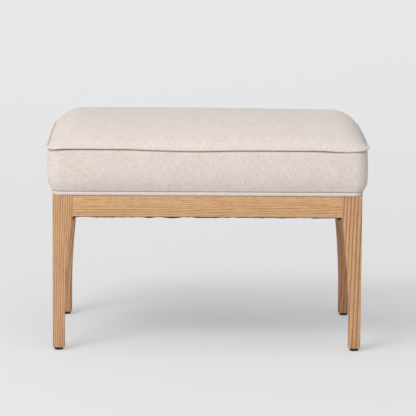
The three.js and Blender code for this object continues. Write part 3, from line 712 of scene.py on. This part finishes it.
def boxing_profile(low, high, foot, full, rim_depth):
    """The boxing in section: out from its foot, up, over the rim of the box and down inside."""
    height = high - low
    lower = []
    for t in np.linspace(0, 1, 15):
        share = np.array([(1 - t) ** 3, 3 * t * (1 - t) ** 2, 3 * t * t * (1 - t), t ** 3])
        out = share @ [foot, foot + 3.5 * MM, full, full]
        lower.append((out, low + height * (share @ [0, 0.134, 0.22, 0.586])))
    upper = []
    for angle in np.linspace(0, math.pi / 2, 10):
        out = full + EDGE_ROLL * (math.cos(angle) - 1)
        upper.append((out, high + EDGE_LIFT + 7 * MM * (math.sin(angle) - 1)))
    over = []
    for t in np.linspace(0.15, 1, 6):
        ease = t * t * (3 - 2 * t)
        over.append((full - EDGE_ROLL - 8 * MM * t, high + EDGE_LIFT * (1 - ease)))
    inside = full - EDGE_ROLL - 8 * MM
    rim = [(x, high) for x in np.linspace(inside - 1.5 * MM, -rim_depth + 1 * MM, 4)]
    return lower + upper + over + rim


def under_hinges(plan):
    """1 along the back where a hinge leaf presses the padded edge down, falling to 0 beside it."""
    low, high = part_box("hinge_right_box_leaf")
    from_leaf = np.abs(np.abs(plan[:, 0]) - (low.x + high.x) / 2) - (high.x - low.x) / 2
    return (1 - smoothstep(from_leaf, 2 * MM, 14 * MM)) * (plan[:, 1] > 0)


def add_boxing(look):
    """One strip of cloth round the box, full at the middle, pulled in at its foot and turned over the rim."""
    low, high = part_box("boxing_cover")
    wall_low, wall_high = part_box("box_wall_back")
    half = np.array([wall_high.x, wall_high.y])
    full = high.x - wall_high.x
    profile = boxing_profile(low.z, high.z, 8 * MM, full, wall_high.y - wall_low.y)
    points, plan, normals = band(profile, *half, WALL_RADIUS, 3 * MM)
    around = travelled(plan)
    up = travelled(np.array(profile), closed=False)
    outward = raised(normals)
    corner = 1 - smoothstep(np.abs(np.abs(plan) - half).max(axis=1), 10 * MM, 60 * MM)
    wave = seam_wave(plan * high.x / wall_high.x)
    pleat = ripple(np.column_stack([around[:-1] * 75, 0 * plan]), 1, 5.0)
    pressed = under_hinges(plan)
    long_side = np.abs(normals[:, 1]) * smoothstep(wall_high.x - np.abs(plan[:, 0]), 0, 100 * MM)
    end_side = np.abs(normals[:, 0]) * (0.6 - 0.1 * np.sign(plan[:, 0]))
    slump = np.where(plan[:, 0] > 0, 2.6, 1.0) * np.abs(normals[:, 0]) * MM
    for row, (offset, z) in enumerate(profile):
        share = float(np.clip((z - low.z) / (high.z - low.z), 0, 1))
        belly = BELLY * (1 - (2 * share - 1) ** 2)
        over_rim = float(smoothstep(offset, full * 0.1, full * 0.9))
        soft = 0.9 * ripple(points[row], 11, 3.0) + 0.3 * ripple(points[row], 37, 9.0)
        soft = soft * math.sin(math.pi * min(share * 1.05, 1)) ** 0.5
        pulled = pleat * (0.35 * bell(share, 0.02, 0.10) + 0.30 * bell(share, 0.97, 0.08))
        out = MM * (soft + pulled * (1 + corner)) * over_rim
        out = out + belly * (long_side + end_side) + slump * bell(share, 0.16, 0.16) * over_rim
        points[row] += outward * out[:, None]
        points[row][:, 2] += wave * float(smoothstep(share, 0.55, 1.0)) * over_rim * (1 - pressed)
        points[row][:, 2] -= max(0, z - high.z) * pressed
        points[row][:, 2] = np.minimum(points[row][:, 2], high.z + EDGE_LIFT)
    part = grid(points, around, up, wrap_u=True)
    obj = piece("sewn_boxing", part, look, "base", ["boxing_cover"], thickness=CLOTH, sharp=80)


def add_lower_welt(look):
    """A flat welt of the same cloth, laid between the wood and the boxing."""
    low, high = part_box("lower_welt")
    half_height = (high.z - low.z) / 2
    middle = (low.z + high.z) / 2
    plan, normals = rounded_rectangle(high.x - WELT_DEPTH, high.y - WELT_DEPTH, WALL_RADIUS + 5 * MM, 3 * MM)
    along = raised(plan)
    wave = 0.25 * MM * ripple(along, 30, 4.0) + 0.12 * MM * ripple(along, 160, 8.0)
    lift = 0.22 * MM * ripple(along, 22, 6.0)
    section, rows = [], []
    for angle in np.linspace(0, 2 * math.pi, 16, endpoint=False):
        c, s = math.cos(angle), math.sin(angle)
        out = WELT_DEPTH * math.copysign(abs(c) ** 0.8, c)
        up = half_height * math.copysign(abs(s) ** 0.6, s)
        hang = 1.8 * MM * float(smoothstep(out, 1.0 * MM, 2.2 * MM))
        section.append((out, up))
        rows.append((out + wave, middle + up + lift * (up > 0) - hang * (up < 0)))
    part = grid(swept(plan, normals, rows), travelled(plan), travelled(np.array(section)), True, True)
    piece("sewn_lower_welt", part, look, "base", ["lower_welt"], sharp=80)


def add_side_pads():
    """Wadding between walls and boxing. The long pads turn the corners and the short ones fill the ends."""
    look = felt("polyester_wadding", grey(0.72), grey(0.90), 500)
    low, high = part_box("boxing_cover")
    wall_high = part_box("box_wall_back")[1]
    full = high.x - wall_high.x - 2.2 * MM
    profile = boxing_profile(low.z, high.z - 3 * MM, 5 * MM, full, -1 * MM)
    profile = [p for p in profile if p[0] > 1.2 * MM][:-1]
    wall = (wall_high.x, wall_high.y, WALL_RADIUS, 8 * MM)
    outer, plan, _ = band(profile, *wall)
    feet = [(0.5 * MM, profile[0][1] + 0.5 * MM), (0.5 * MM, profile[-1][1] - 0.5 * MM)]
    inner = band(feet, *wall)[0]
    ring = np.concatenate([outer, inner[::-1]])
    seam = wall_high.y - WALL_RADIUS + 1 * MM
    picks = {"front": plan[:, 1] < -seam, "back": plan[:, 1] > seam}
    for side, sign in SIDES:
        picks[side] = (plan[:, 0] * sign > 0) & ~picks["front"] & ~picks["back"]
    for side, pick in picks.items():
        first = next(i for i in range(len(pick)) if pick[i] and not pick[i - 1])
        columns = [(first + i) % len(pick) for i in range(int(pick.sum()))]
        part = loft(np.swapaxes(ring[:, columns], 0, 1))
        pad = piece(f"wadding_{side}", part, look, "base", [f"side_pad_{side}"], sharp=60)


# Lid ------------------------------------------------------------

LID_RADIUS = 23 * MM  # plan radius of the lid's corners
SEAM_INSET = 1.2 * MM  # how far the crown's edge lies inside the cover's outline, which lets the cord show
SEAM_ALLOWANCE = 3.5 * MM  # flat cloth of the cord's casing, sewn in between the crown and its turned edge
SHOULDER = 0.4175  # where the crown starts to rise from its welt
END_ROLL = 70 * MM  # how far in from each end the crown reaches its full height
END_CURVE = (2.4, 0.68)  # how the crown swells from its ends and from its long edges
ARCH_CURVE = (2.5, 0.82)
SETTLING = 1.9 * MM  # how much lower the filling lies towards the right


def swell(share, level, steep):
    """From 0 to 1 as share goes from 0 to 1: steep at first, level at last."""
    return (1 - np.clip(1 - share, 0, 1) ** level) ** steep


class Crown:
    """The top of the lid, some depth below the outside of its cover: an arch that rolls over at the ends."""

    def __init__(self, depth, spacing):
        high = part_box("lid_cover")[1]
        self.half = np.array([high.x, high.y]) - SEAM_INSET - depth
        self.radius = LID_RADIUS - depth
        self.rise = high.z + 0.9 * MM - depth - SHOULDER
        self.spacing = spacing
        self.tables = [self.table(self.half[0], self.end_share), self.table(self.half[1], self.arch_share)]

    def end_share(self, inset):
        return swell(inset / END_ROLL, *END_CURVE)

    def arch_share(self, inset):
        return swell(inset / self.half[1], *ARCH_CURVE)

    def table(self, half, share):
        """(inset, length of cloth in from the edge) along one section."""
        inset = half * np.linspace(0, 1, 3000) ** 2
        return inset, travelled(np.column_stack([inset, self.rise * share(inset)]), closed=False)

    def insets(self, plan):
        """Distances in from the nearest end and from the nearest long edge, each 0 on the rounded outline."""
        place = np.abs(plan)
        straight = self.half - self.radius
        into_corner = np.maximum(place - straight, 0)[..., ::-1]
        edge = straight + np.sqrt(np.maximum(self.radius ** 2 - into_corner ** 2, 0))
        return np.maximum(edge - place, 0)

    def axis_lines(self, axis):
        """Places of the threads along one axis: even steps over the cloth, so crowded where it is steep."""
        inset, length = self.tables[axis]
        steps = max(6, round(length[-1] / self.spacing))
        edge = np.interp(np.linspace(0, length[-1], steps + 1), length, inset)[:-1]
        near = self.half[axis] - edge
        return np.concatenate([-near, [0.0], near[::-1]])

    def surface(self):
        """(points, uv) on a grid of threads. The corners of the grid are eased round in plan.

        The crown is a little lower towards the right, where the filling has settled.
        """
        plan = np.stack(np.meshgrid(self.axis_lines(0), self.axis_lines(1)), axis=-1)
        square = self.half - self.radius
        into = np.clip((np.abs(plan) - square) / self.radius, 0, 1)
        eased = np.sign(plan) * (square + self.radius * into * np.sqrt(1 - into[..., ::-1] ** 2 / 2))
        plan = np.where((into > 0).all(axis=-1, keepdims=True), eased, plan)
        inset = self.insets(plan)
        shares = np.stack([self.end_share(inset[..., 0]), self.arch_share(inset[..., 1])], axis=-1)
        spare = []
        for axis, (insets, lengths) in enumerate(self.tables):
            spare.append(lengths[-1] - insets[-1] - np.interp(inset[..., axis], insets, lengths - insets))
        uv = plan + np.sign(plan) * np.stack(spare, axis=-1) * shares[..., ::-1]
        rise = self.rise - SETTLING * smoothstep(plan[..., 0], 0.0, 0.22)
        z = SHOULDER + rise * shares[..., 0] * shares[..., 1]
        return np.concatenate([plan, z[..., None]], axis=-1), uv

    def outward(self, plan):
        """Unit direction in plan from the outline's corner centres, or square to its sides."""
        offset = np.maximum(np.abs(plan) - (self.half - self.radius), 0) * np.sign(plan)
        size = np.linalg.norm(offset, axis=1)
        return offset / np.maximum(size, 1e-9)[:, None]

    def shell(self, skirt):
        """(vertices, faces, uvs, last ring) of the dome and a skirt of (distance out, height) steps."""
        points, uv = self.surface()
        rows, columns = points.shape[:2]
        vertices, faces, _ = grid(points, np.zeros(columns), np.zeros(rows))
        places = uv.reshape(-1, 2)
        index = np.arange(rows * columns).reshape(rows, columns)
        sides = (index[0, :-1], index[:-1, -1], index[-1, :0:-1], index[:0:-1, 0])
        rim = [int(i) for side in sides for i in side]
        edge = vertices[rim, :2]
        normals = self.outward(edge)
        before, drop, last = rim, 0.0, (0.0, SHOULDER)
        for out, z in skirt:
            drop += math.hypot(out - last[0], z - last[1])
            last = (out, z)
            ring = list(range(len(vertices), len(vertices) + len(rim)))
            vertices = np.concatenate([vertices, raised(edge + normals * out, z)])
            places = np.concatenate([places, places[rim] + normals * drop])
            for i in range(len(rim)):
                j = (i + 1) % len(rim)
                faces.append((before[i], ring[i], ring[j], before[j]))
            before = ring
        uvs = [tuple(places[i]) for face in faces for i in face]
        follows = smoothstep(-self.insets(vertices[:, :2]).min(axis=1), -30 * MM, -2 * MM)
        above = smoothstep(vertices[:, 2], SHOULDER - 3.5 * MM, SHOULDER - 1.5 * MM)
        vertices[:, 2] += seam_wave(vertices) * above * follows
        return vertices, faces, uvs, before


def add_crown_cover(look):
    """The cover: tight over the crown, turned under the board's edge, with small pulls along the welt."""
    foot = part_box("lid_cover")[0].z
    cover = Crown(0.0, 4.5 * MM)
    hem = foot - 0.05 * MM
    skirt = [(0, SHOULDER - 0.9 * MM), (0, SHOULDER - 1.8 * MM), (0, foot + 0.8 * MM), (-0.8 * MM, foot)]
    skirt += [(-turned_under * MM, hem) for turned_under in (2.5, 8, 14, 21)]
    vertices, faces, uvs, _ = cover.shell(skirt)
    inset = cover.insets(vertices[:, :2]).min(axis=1)
    plan = raised(vertices[:, :2])
    pulled = 0.5 * ripple(plan, 85, 5.0) * bell(inset, 4 * MM, 8 * MM)
    pulled += 0.5 * ripple(plan, 30, 7.0) * bell(inset, 12 * MM, 20 * MM)
    soft = 0.8 * ripple(vertices, 6, 12.0) + 0.25 * ripple(vertices, 17, 15.0)
    soft = soft * smoothstep(inset, 4 * MM, 30 * MM)
    vertices[:, 2] += MM * (soft + pulled) * (vertices[:, 2] > SHOULDER - 1.2 * MM)
    part = (vertices, faces, uvs)
    crown = piece("sewn_crown", part, look, "lid", ["lid_cover"], thickness=CLOTH, sharp=80)


def add_crown_filling():
    """Wadding over a foam block that is hollowed to sit round the edge of the board."""
    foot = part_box("lid_cover")[0].z + 0.5 * MM
    board_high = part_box("lid_board")[1]
    vertices, faces, uvs, _ = Crown(2.8 * MM, 6 * MM).shell([(0, foot)])
    look = felt("crown_wadding_felt", grey(0.75), grey(0.92), 500)
    pad = piece("crown_wadding_layer", (vertices, faces, uvs), look, "lid", ["crown_wadding"],
                thickness=1.5 * MM, sharp=60)
    block = Crown(5.4 * MM, 12 * MM)
    inner = (board_high.x + 0.5 * MM) - block.half[0]
    vertices, faces, uvs, ring = block.shell([(0, foot), (inner, foot), (inner, board_high.z + 0.4 * MM)])
    part = (vertices, faces + [tuple(ring)[::-1]], uvs + [(0, 0)] * len(ring))
    pad = piece("crown_foam_block", part, foam("crown_foam_cells"), "lid", ["crown_foam"], sharp=60)


def add_upper_welt(look):
    """Round cord covered in cloth cut on the cross, sewn round the edge of the lid."""
    low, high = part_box("upper_welt")
    radius = (high.z - low.z) / 2
    plan, normals = rounded_rectangle(high.x - radius, high.y - radius, LID_RADIUS, 3 * MM)
    along = raised(plan)
    around = travelled(plan)
    bow = MM * (1.8 + 0.7 * (1 - (plan[:, 1] / high.y) ** 2)) * np.abs(normals[:, 0]) ** 2
    bow = bow + MM * np.where(plan[:, 0] > 0, 0.7, 1.8) * corner_ears(*plan.T)
    height = (high.z + low.z) / 2 + seam_wave(plan)
    thick = radius + 0.14 * MM * ripple(along, 55, 11.0) + 0.07 * MM * ripple(along, 240, 13.0)
    section = []
    for angle in np.linspace(0, 2 * math.pi, 18, endpoint=False):
        section.append((bow + thick * math.cos(angle), height + thick * math.sin(angle)))
    cord = grid(swept(plan, normals, section), around, np.linspace(0, 2 * math.pi * radius, 19), True, True)
    half = 0.5 * MM
    section = [(bow, height - half), (bow, height + half), (-SEAM_ALLOWANCE, height + half)]
    section.append((-SEAM_ALLOWANCE, height - half))
    allowance = grid(swept(plan, normals, section), around, np.array([0, 1, 6, 7, 12]) * MM, True, True)
    piece("sewn_upper_welt", together([cord, allowance]), look, "lid", ["upper_welt"], sharp=80)


# Linings --------------------------------------------------------

LINER_HEM = 14 * MM  # width of the edge of the lid's liner that is turned under
STAPLE_WIRE = 0.45 * MM
STAPLE_HALF = 5.5 * MM
STAPLE_PITCH = 55 * MM  # from staple to staple, and from the last one to the end of the side
STAPLE_START = 25 * MM


def thread_lines(half, notch, spacing, extra=()):
    """Places of threads from -half to half, with one at each notch and at each extra place."""
    stops = sorted({-half, -notch, notch, half, *extra})
    lines = [stops[0]]
    for near, far in zip(stops, stops[1:]):
        steps = max(1, round((far - near) / spacing))
        lines += list(np.linspace(near, far, steps + 1)[1:])
    return lines


def notched_sheet(x_lines, y_lines, notch_x, notch_y):
    """(points in plan, faces, rim) of a flat sheet without its four corners. The rim is anticlockwise."""
    cells, points = [], {}
    for r in range(len(y_lines) - 1):
        for c in range(len(x_lines) - 1):
            x = abs(x_lines[c] + x_lines[c + 1]) / 2
            y = abs(y_lines[r] + y_lines[r + 1]) / 2
            if x < notch_x or y < notch_y:
                cells.append([(c, r), (c + 1, r), (c + 1, r + 1), (c, r + 1)])
    for cell in cells:
        for corner in cell:
            points.setdefault(corner, len(points))
    plan = np.array([(x_lines[c], y_lines[r]) for c, r in points])
    faces = [tuple(points[corner] for corner in cell) for cell in cells]
    edges = {(face[i], face[(i + 1) % 4]) for face in faces for i in range(4)}
    after = {a: b for a, b in edges if (b, a) not in edges}
    rim = [min(after)]
    while after[rim[-1]] != rim[0]:
        rim.append(after[rim[-1]])
    return plan, faces, rim


def laid(plan, z, faces):
    """(vertices, faces, uvs) of a sheet of cloth laid at height z, its threads straight in plan."""
    return raised(plan, z), faces, [tuple(plan[i]) for face in faces for i in face]


def from_sides(plan, half_x, half_y):
    """Distance of each point in plan from the nearest side of the rectangle that it lies in."""
    return np.minimum(half_x - np.abs(plan[:, 0]), half_y - np.abs(plan[:, 1]))


def add_dust_cover():
    """Black cloth stapled under the frame, slack at its edges and tucked in beside each leg."""
    low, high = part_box("dust_cover")
    leg_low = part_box("leg_back_right")[0]
    notch_x, notch_y = leg_low.x - 0.6 * MM, leg_low.y - 0.6 * MM
    fold = [notch_x - step * MM for step in (0.8, 1.6, 2.6, 4.0, 6.0, 9.0)]
    x_lines = thread_lines(high.x, notch_x, 8 * MM, fold + [-f for f in fold])
    y_lines = thread_lines(high.y, notch_y, 8 * MM, [high.y - 2 * MM, 2 * MM - high.y])
    plan, faces, _ = notched_sheet(x_lines, y_lines, notch_x, notch_y)
    x, y = plan.T
    from_edge = from_sides(plan, high.x, high.y)
    z = high.z - 0.1 * MM - 3.0 * MM * smoothstep(from_edge, 30 * MM, 120 * MM)
    slack = 1.4 + 1.8 * ripple(raised(plan), 34, 2.0) + 1.6 * ripple(raised(plan), 90, 6.0)
    z -= MM * np.clip(slack, 0, 3.4) * (1 - smoothstep(from_edge, 0, 14 * MM))
    for side, drop, inward in ((-1, 7.5, 0.8), (1, 6.0, 5.0)):
        z -= drop * MM * bell(x, side * (notch_x - inward * MM), 2.2 * MM) * bell(y, low.y, 6 * MM)
        z -= 2.0 * MM * bell(x, side * (notch_x - 1 * MM), 1.5 * MM) * bell(y, high.y, 6 * MM)
    look = plain_cloth("dust_cover_cloth", (0.006, 0.006, 0.006, 1), (0.022, 0.021, 0.020, 1), 0.6 * MM)
    part = laid(plan, z, faces)
    cover = piece("stapled_dust_cover", part, look, "base", ["dust_cover"],
                  thickness=-0.5 * MM, sharp=80)
    inset = 9 * MM
    staple_z = high.z - 1.2 * MM
    add_staples("dust_cover_staples", (high.x - inset, high.y - inset), (notch_x, notch_y), staple_z, "base")


def add_staples(name, half, reach, z, body):
    """Wire staples along each side of a sheet, their crowns facing down at height z.

    half is how far the rows lie from the middle, and reach is how far the sheet's sides go.
    """
    parts = []
    for axis in (0, 1):
        far = reach[axis] - STAPLE_START
        count = max(2, round(2 * far / STAPLE_PITCH))
        for side in (-1, 1):
            for i, place in enumerate(np.linspace(-far, far, count)):
                slant = math.radians(9) * math.sin(7.3 * i + 2.1 * side + 3 * (1 - axis))
                turn = Matrix.Rotation(slant + axis * math.pi / 2, 2)
                centre = np.roll([place, side * half[1 - axis]], axis)
                ring = []
                for sx, sy in ((-1, -1), (1, -1), (1, 1), (-1, 1)):
                    ring.append(centre + turn @ Vector((sx * STAPLE_HALF, sy * STAPLE_WIRE / 2)))
                parts.append(loft([raised(np.array(ring), z + up) for up in (0, 1.1 * MM)]))
    piece(name, together(parts), steel(f"{name}_wire", 0.50, 0.30), body)


def add_well_lining():
    """Cotton lining of the box: a flat floor, and walls that end in a turned-over edge under the rim."""
    low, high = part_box("well_lining")
    post_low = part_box("corner_post_back_right")[0]
    notch = (post_low.x - 0.3 * MM, post_low.y - 0.3 * MM)
    lines = [thread_lines(high[axis], notch[axis], 9 * MM) for axis in (0, 1)]
    plan, faces, rim = notched_sheet(*lines, *notch)
    from_edge = from_sides(plan, high.x, high.y)
    slack = 0.5 + 0.5 * ripple(raised(plan), 16, 3.0)
    floor_z = low.z + MM * slack * smoothstep(from_edge, 2 * MM, 30 * MM)
    edge = plan[rim]
    heading = np.roll(edge, -1, axis=0) - np.roll(edge, 1, axis=0)
    inward = np.column_stack([-heading[:, 1], heading[:, 0]])
    inward /= np.linalg.norm(inward, axis=1)[:, None]
    levels = [(0, z) for z in np.linspace(low.z, high.z - 14 * MM, 12)]
    turned_edge = ((0.9, 13), (1.3, 11), (1.4, 2.5), (0.9, 0.5), (0.2, 0))
    levels += [(inset * MM, high.z - below * MM) for inset, below in turned_edge]
    section = []
    for inset, z in levels:
        slack = np.clip(0.5 + 0.9 * ripple(raised(edge, z) * [1, 1, 0.4], 19, 5.0), 0, 1.4)
        rise = (z - low.z) / (high.z - low.z)
        slack = slack * (0.15 if inset else math.sin(math.pi * min(1, rise * 1.12)))
        section.append((inset + MM * slack, z))
    up = travelled(np.array(levels), closed=False)
    walls = grid(swept(edge, inward, section), travelled(edge), up, wrap_u=True)
    part = together([laid(plan, floor_z, faces), walls])
    look = lining_cotton("lining_cotton")
    lining = piece("sewn_well_lining", part, look, "base", ["well_lining"],
                   thickness=0.9 * MM, sharp=60)


def add_lid_liner():
    """Lining stapled to the underside of the lid, its edges turned under."""
    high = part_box("lid_liner")[1]
    half = (high.x, high.y + 1.8 * MM)
    lines = [thread_lines(h, h - LINER_HEM, 9 * MM, [h - 1 * MM, 1 * MM - h]) for h in half]
    plan, faces, _ = notched_sheet(*lines, *half)
    from_edge = from_sides(plan, *half)
    fold = 1 - smoothstep(from_edge, LINER_HEM - 0.2 * MM, LINER_HEM + 0.2 * MM)
    z = high.z - 0.5 * MM - 0.25 * MM * fold + 0.35 * MM * (1 - smoothstep(from_edge, 0, 1.2 * MM))
    z += 0.18 * MM * ripple(raised(plan), 14, 8.0) * smoothstep(from_edge, LINER_HEM, 30 * MM)
    part = laid(plan, z, faces)
    look = lining_cotton("lid_lining_cotton")
    liner = piece("stapled_lid_liner", part, look, "lid", ["lid_liner"],
                  thickness=-0.45 * MM, sharp=80)
    inset = 5 * MM
    add_staples("lid_liner_staples", [h - inset for h in half], half, z.min() - 0.35 * MM, "lid")


# Straps and hardware --------------------------------------------

STRAP_HALF = 0.72 * MM  # half the webbing's thickness
STRAP_TAIL = 9 * MM  # flat stretch of strap either side of each fixing
STRAP_BEND = 2.2 * MM  # how far from a corner of its line the strap starts to bend
BOX_FIXING = (0.100, 0.3746)  # (y, z) of the middle of the strap at its two ends, with the lid shut
LID_FIXING = (0.0875, 0.4115)
FOLD_LOW, FOLD_HIGH = 0.3761, 0.4100  # heights between which the folded strap passes from box to lid
HINGE_SCREW_Y = 0.192
HINGE_SCREWS = (-0.022, 0, 0.022)  # places of the screws along a hinge leaf, from its middle
# (radius, height) in mm of a rivet's head, over its shoulder, and of its spread foot, over its lowest point
RIVET_HEAD = ((0, 1.6), (2.4, 1.45), (4.2, 1.05), (5.2, 0.45), (5.5, 0.1), (5.4, 0), (1.9, 0))
RIVET_FOOT = ((1.9, 1.4), (3.5, 1.35), (3.5, 0.9), (2.6, 0.2), (0, 0))


def turned_about_hinge(points, angle):
    """(y, z) points turned about the hinge; positive closes the lid."""
    y, z = points[..., 0] - AXIS_Y, points[..., 1] - AXIS_Z
    c, s = np.cos(angle), np.sin(angle)
    return np.stack([AXIS_Y + c * y - s * z, AXIS_Z + s * y + c * z], axis=-1)


def folded(taut):
    """Where (y, z) points of the taut strap lie once the lid is shut."""
    least, most = np.zeros(taut.shape[:-1]), np.ones(taut.shape[:-1])
    for _ in range(40):
        share = (least + most) / 2
        z = turned_about_hinge(taut, share * OPEN_ANGLE)[..., 1]
        more = smoothstep(z, FOLD_LOW, FOLD_HIGH) > share
        least = np.where(more, share, least)
        most = np.where(more, most, share)
    return turned_about_hinge(taut, least * OPEN_ANGLE)


def steps_between(near, far, steps):
    """Points at even steps from near, which is left out, to far."""
    return [near + (far - near) * i / steps for i in range(1, steps + 1)]


def taut_strap_line():
    """Middle line (y, z) of the strap with the lid open, eased at both bends."""
    lid_tail = np.array([[LID_FIXING[0] + end * STRAP_TAIL, LID_FIXING[1]] for end in (1, -1)])
    box_tail = np.array([[BOX_FIXING[0] + end * STRAP_TAIL, BOX_FIXING[1]] for end in (-1, 1)])
    corners = [*box_tail, *turned_about_hinge(lid_tail, -OPEN_ANGLE)]
    line = [corners[0]]
    for before, corner, after in zip(corners, corners[1:], corners[2:]):
        near = corner + (before - corner) * STRAP_BEND / np.linalg.norm(before - corner)
        far = corner + (after - corner) * STRAP_BEND / np.linalg.norm(after - corner)
        line += steps_between(line[-1], near, max(2, round(np.linalg.norm(near - line[-1]) / (2 * MM))))
        line += [(1 - t) ** 2 * near + 2 * t * (1 - t) * corner + t * t * far for t in (0.25, 0.5, 0.75, 1)]
    return np.array(line + steps_between(line[-1], corners[-1], 5))


def add_straps():
    look = webbing("strap_webbing")
    line = taut_strap_line()
    heading = np.gradient(line, axis=0)
    heading /= np.linalg.norm(heading, axis=1)[:, None]
    normal = np.column_stack([heading[:, 1], -heading[:, 0]])
    along = travelled(line, closed=False)
    for side, _ in SIDES:
        low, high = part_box(f"strap_{side}")
        middle_x, half_width = (low.x + high.x) / 2, (high.x - low.x) / 2
        across = np.linspace(-half_width, half_width, 11)
        bevel = STRAP_HALF * np.sqrt(1 - 0.75 * (np.abs(across) / half_width) ** 8)
        section = [*zip(across, bevel), *zip(across[::-1], -bevel[::-1])]
        rings = []
        for x, out in section:
            yz = folded(line + normal * out)
            rings.append(np.column_stack([np.full(len(yz), middle_x + x), yz]))
        points = np.swapaxes(np.array(rings), 0, 1)
        vertices, faces, uvs = grid(points, [x for x, _ in section] + [section[0][0]], along, wrap_u=True)
        uvs = [(v, u) for u, v in uvs]
        count = len(section)
        last = (len(line) - 1) * count
        faces += [tuple(range(count))[::-1], tuple(last + i for i in range(count))]
        uvs += [(0, 0)] * (2 * count)
        part = (vertices, faces, uvs)
        strap = piece(f"webbing_strap_{side}", part, look, None, [f"strap_{side}"])
        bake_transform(strap)


def screw(centre, facing, radius, dome, stem_radius, stem):
    """A screw whose head faces along facing: (vertices, faces, uvs), its recess marked by the uvs."""
    turn = Vector(facing).to_track_quat("Z", "Y").to_matrix()
    rim = 0.15 * MM
    profile = [(radius * r, dome * h) for r, h in ((0, 1), (0.35, 0.95), (0.7, 0.7), (0.93, 0.28))]
    profile += [(radius, -rim), (stem_radius, stem_radius - radius - rim), (stem_radius, -stem), (0, -stem)]
    vertices, faces, _ = lathe(profile, (0, 0, 0), 20)
    uvs = [(float(vertices[i][0]), float(vertices[i][1])) for face in faces for i in face]
    placed = [tuple(turn @ Vector([float(c) for c in p]) + Vector(centre)) for p in vertices]
    return placed, faces, uvs


def add_hinge_screws(look):
    """Three flush screws through each leaf."""
    for side, _ in SIDES:
        for leaf, body, facing in (("box_leaf", "base", 1), ("lid_leaf", "lid", -1)):
            low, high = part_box(f"hinge_{side}_{leaf}")
            face = high.z if facing > 0 else low.z
            parts = []
            for x in HINGE_SCREWS:
                centre = ((low.x + high.x) / 2 + x, HINGE_SCREW_Y, face)
                parts.append(screw(centre, (0, 0, facing), 2.0 * MM, 0.05 * MM, 0.9 * MM, 1.15 * MM))
            piece(f"hinge_screws_{side}_{leaf}", together(parts), look, body)


def add_strap_fixings(look):
    """Rivets through strap and bracket, screws from strap into lid, and screws from bracket into wall."""
    zinc = steel("rivet_zinc", 0.62, 0.28)
    for side, sign in SIDES:
        low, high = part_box(f"strap_rivet_{side}")
        shoulder = high.z - 1.6 * MM
        profile = [(r * MM, h * MM) for r, h in RIVET_HEAD]
        profile += [(r * MM, low.z - shoulder + h * MM) for r, h in RIVET_FOOT]
        part = lathe(profile, axis_point(low, high, shoulder))
        piece(f"pressed_rivet_{side}", part, zinc, "base", [f"strap_rivet_{side}"])
        low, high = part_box(f"strap_lid_screw_{side}")
        seat = low.z + 1.7 * MM
        part = screw(axis_point(low, high, seat), (0, 0, -1), 5.5 * MM, 1.6 * MM, 1.9 * MM, high.z - seat)
        piece(f"pan_screw_{side}", part, look, "lid", [f"strap_lid_screw_{side}"])
        low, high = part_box(f"strap_bracket_{side}")
        inner = (low.x if sign < 0 else high.x) - sign * 1.5 * MM
        parts = []
        for y in (low.y + 6 * MM, high.y - 6 * MM):
            centre = (inner, y, low.z + 9 * MM)
            parts.append(screw(centre, (-sign, 0, 0), 3.2 * MM, 1.2 * MM, 1.2 * MM, 2.2 * MM))
        piece(f"bracket_screws_{side}", together(parts), look, "base")


def add_bumpers():
    look = felt("bumper_felt", (0.10, 0.085, 0.07, 1), (0.22, 0.19, 0.16, 1))
    for corner, _, _ in CORNERS:
        low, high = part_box(f"lid_bumper_{corner}")
        radius, tall = (high.x - low.x) / 2, high.z - low.z
        profile = [(0, 0), (radius - 0.8 * MM, 0), (radius - 0.1 * MM, 0.5 * MM), (radius, tall / 2)]
        profile += [(radius - 0.1 * MM, tall - 0.5 * MM), (radius - 0.7 * MM, tall), (0, tall)]
        part = lathe(profile, axis_point(low, high, low.z), 40)
        piece(f"felt_bumper_{corner}", part, look, "base", [f"lid_bumper_{corner}"])


def dress_kept_nodes():
    """Materials of the pieces whose CAD shape is shown as it is."""
    looks = {
        oak("oak_cleats", "X", (0.30, 0.30), (0.01, 0.0)): ("cleat_",),
        plywood("birch_plywood"): ("box_wall_", "corner_post_", "bottom_panel", "lid_board"),
        steel("hinge_steel"): ("hinge_", "strap_bracket_"),
    }
    for look, starts in looks.items():
        for name, node in frame["nodes"].items():
            if name.startswith(starts):
                node.data.materials[0] = look


add_camera()
add_studio()
linen_look = linen("linen_upholstery")
bias_look = linen("linen_bias", bias=math.pi / 4)
screw_look = screw_steel("screw_steel")
dress_kept_nodes()
for corner_settings in CORNERS:
    add_leg(*corner_settings)
add_rails()
add_glides()
add_dust_cover()
add_side_pads()
add_boxing(linen_look)
add_lower_welt(bias_look)
add_well_lining()
add_bumpers()
add_crown_cover(linen_look)
add_crown_filling()
add_upper_welt(bias_look)
add_lid_liner()
add_hinge_screws(screw_look)
add_straps()
add_strap_fixings(screw_look)
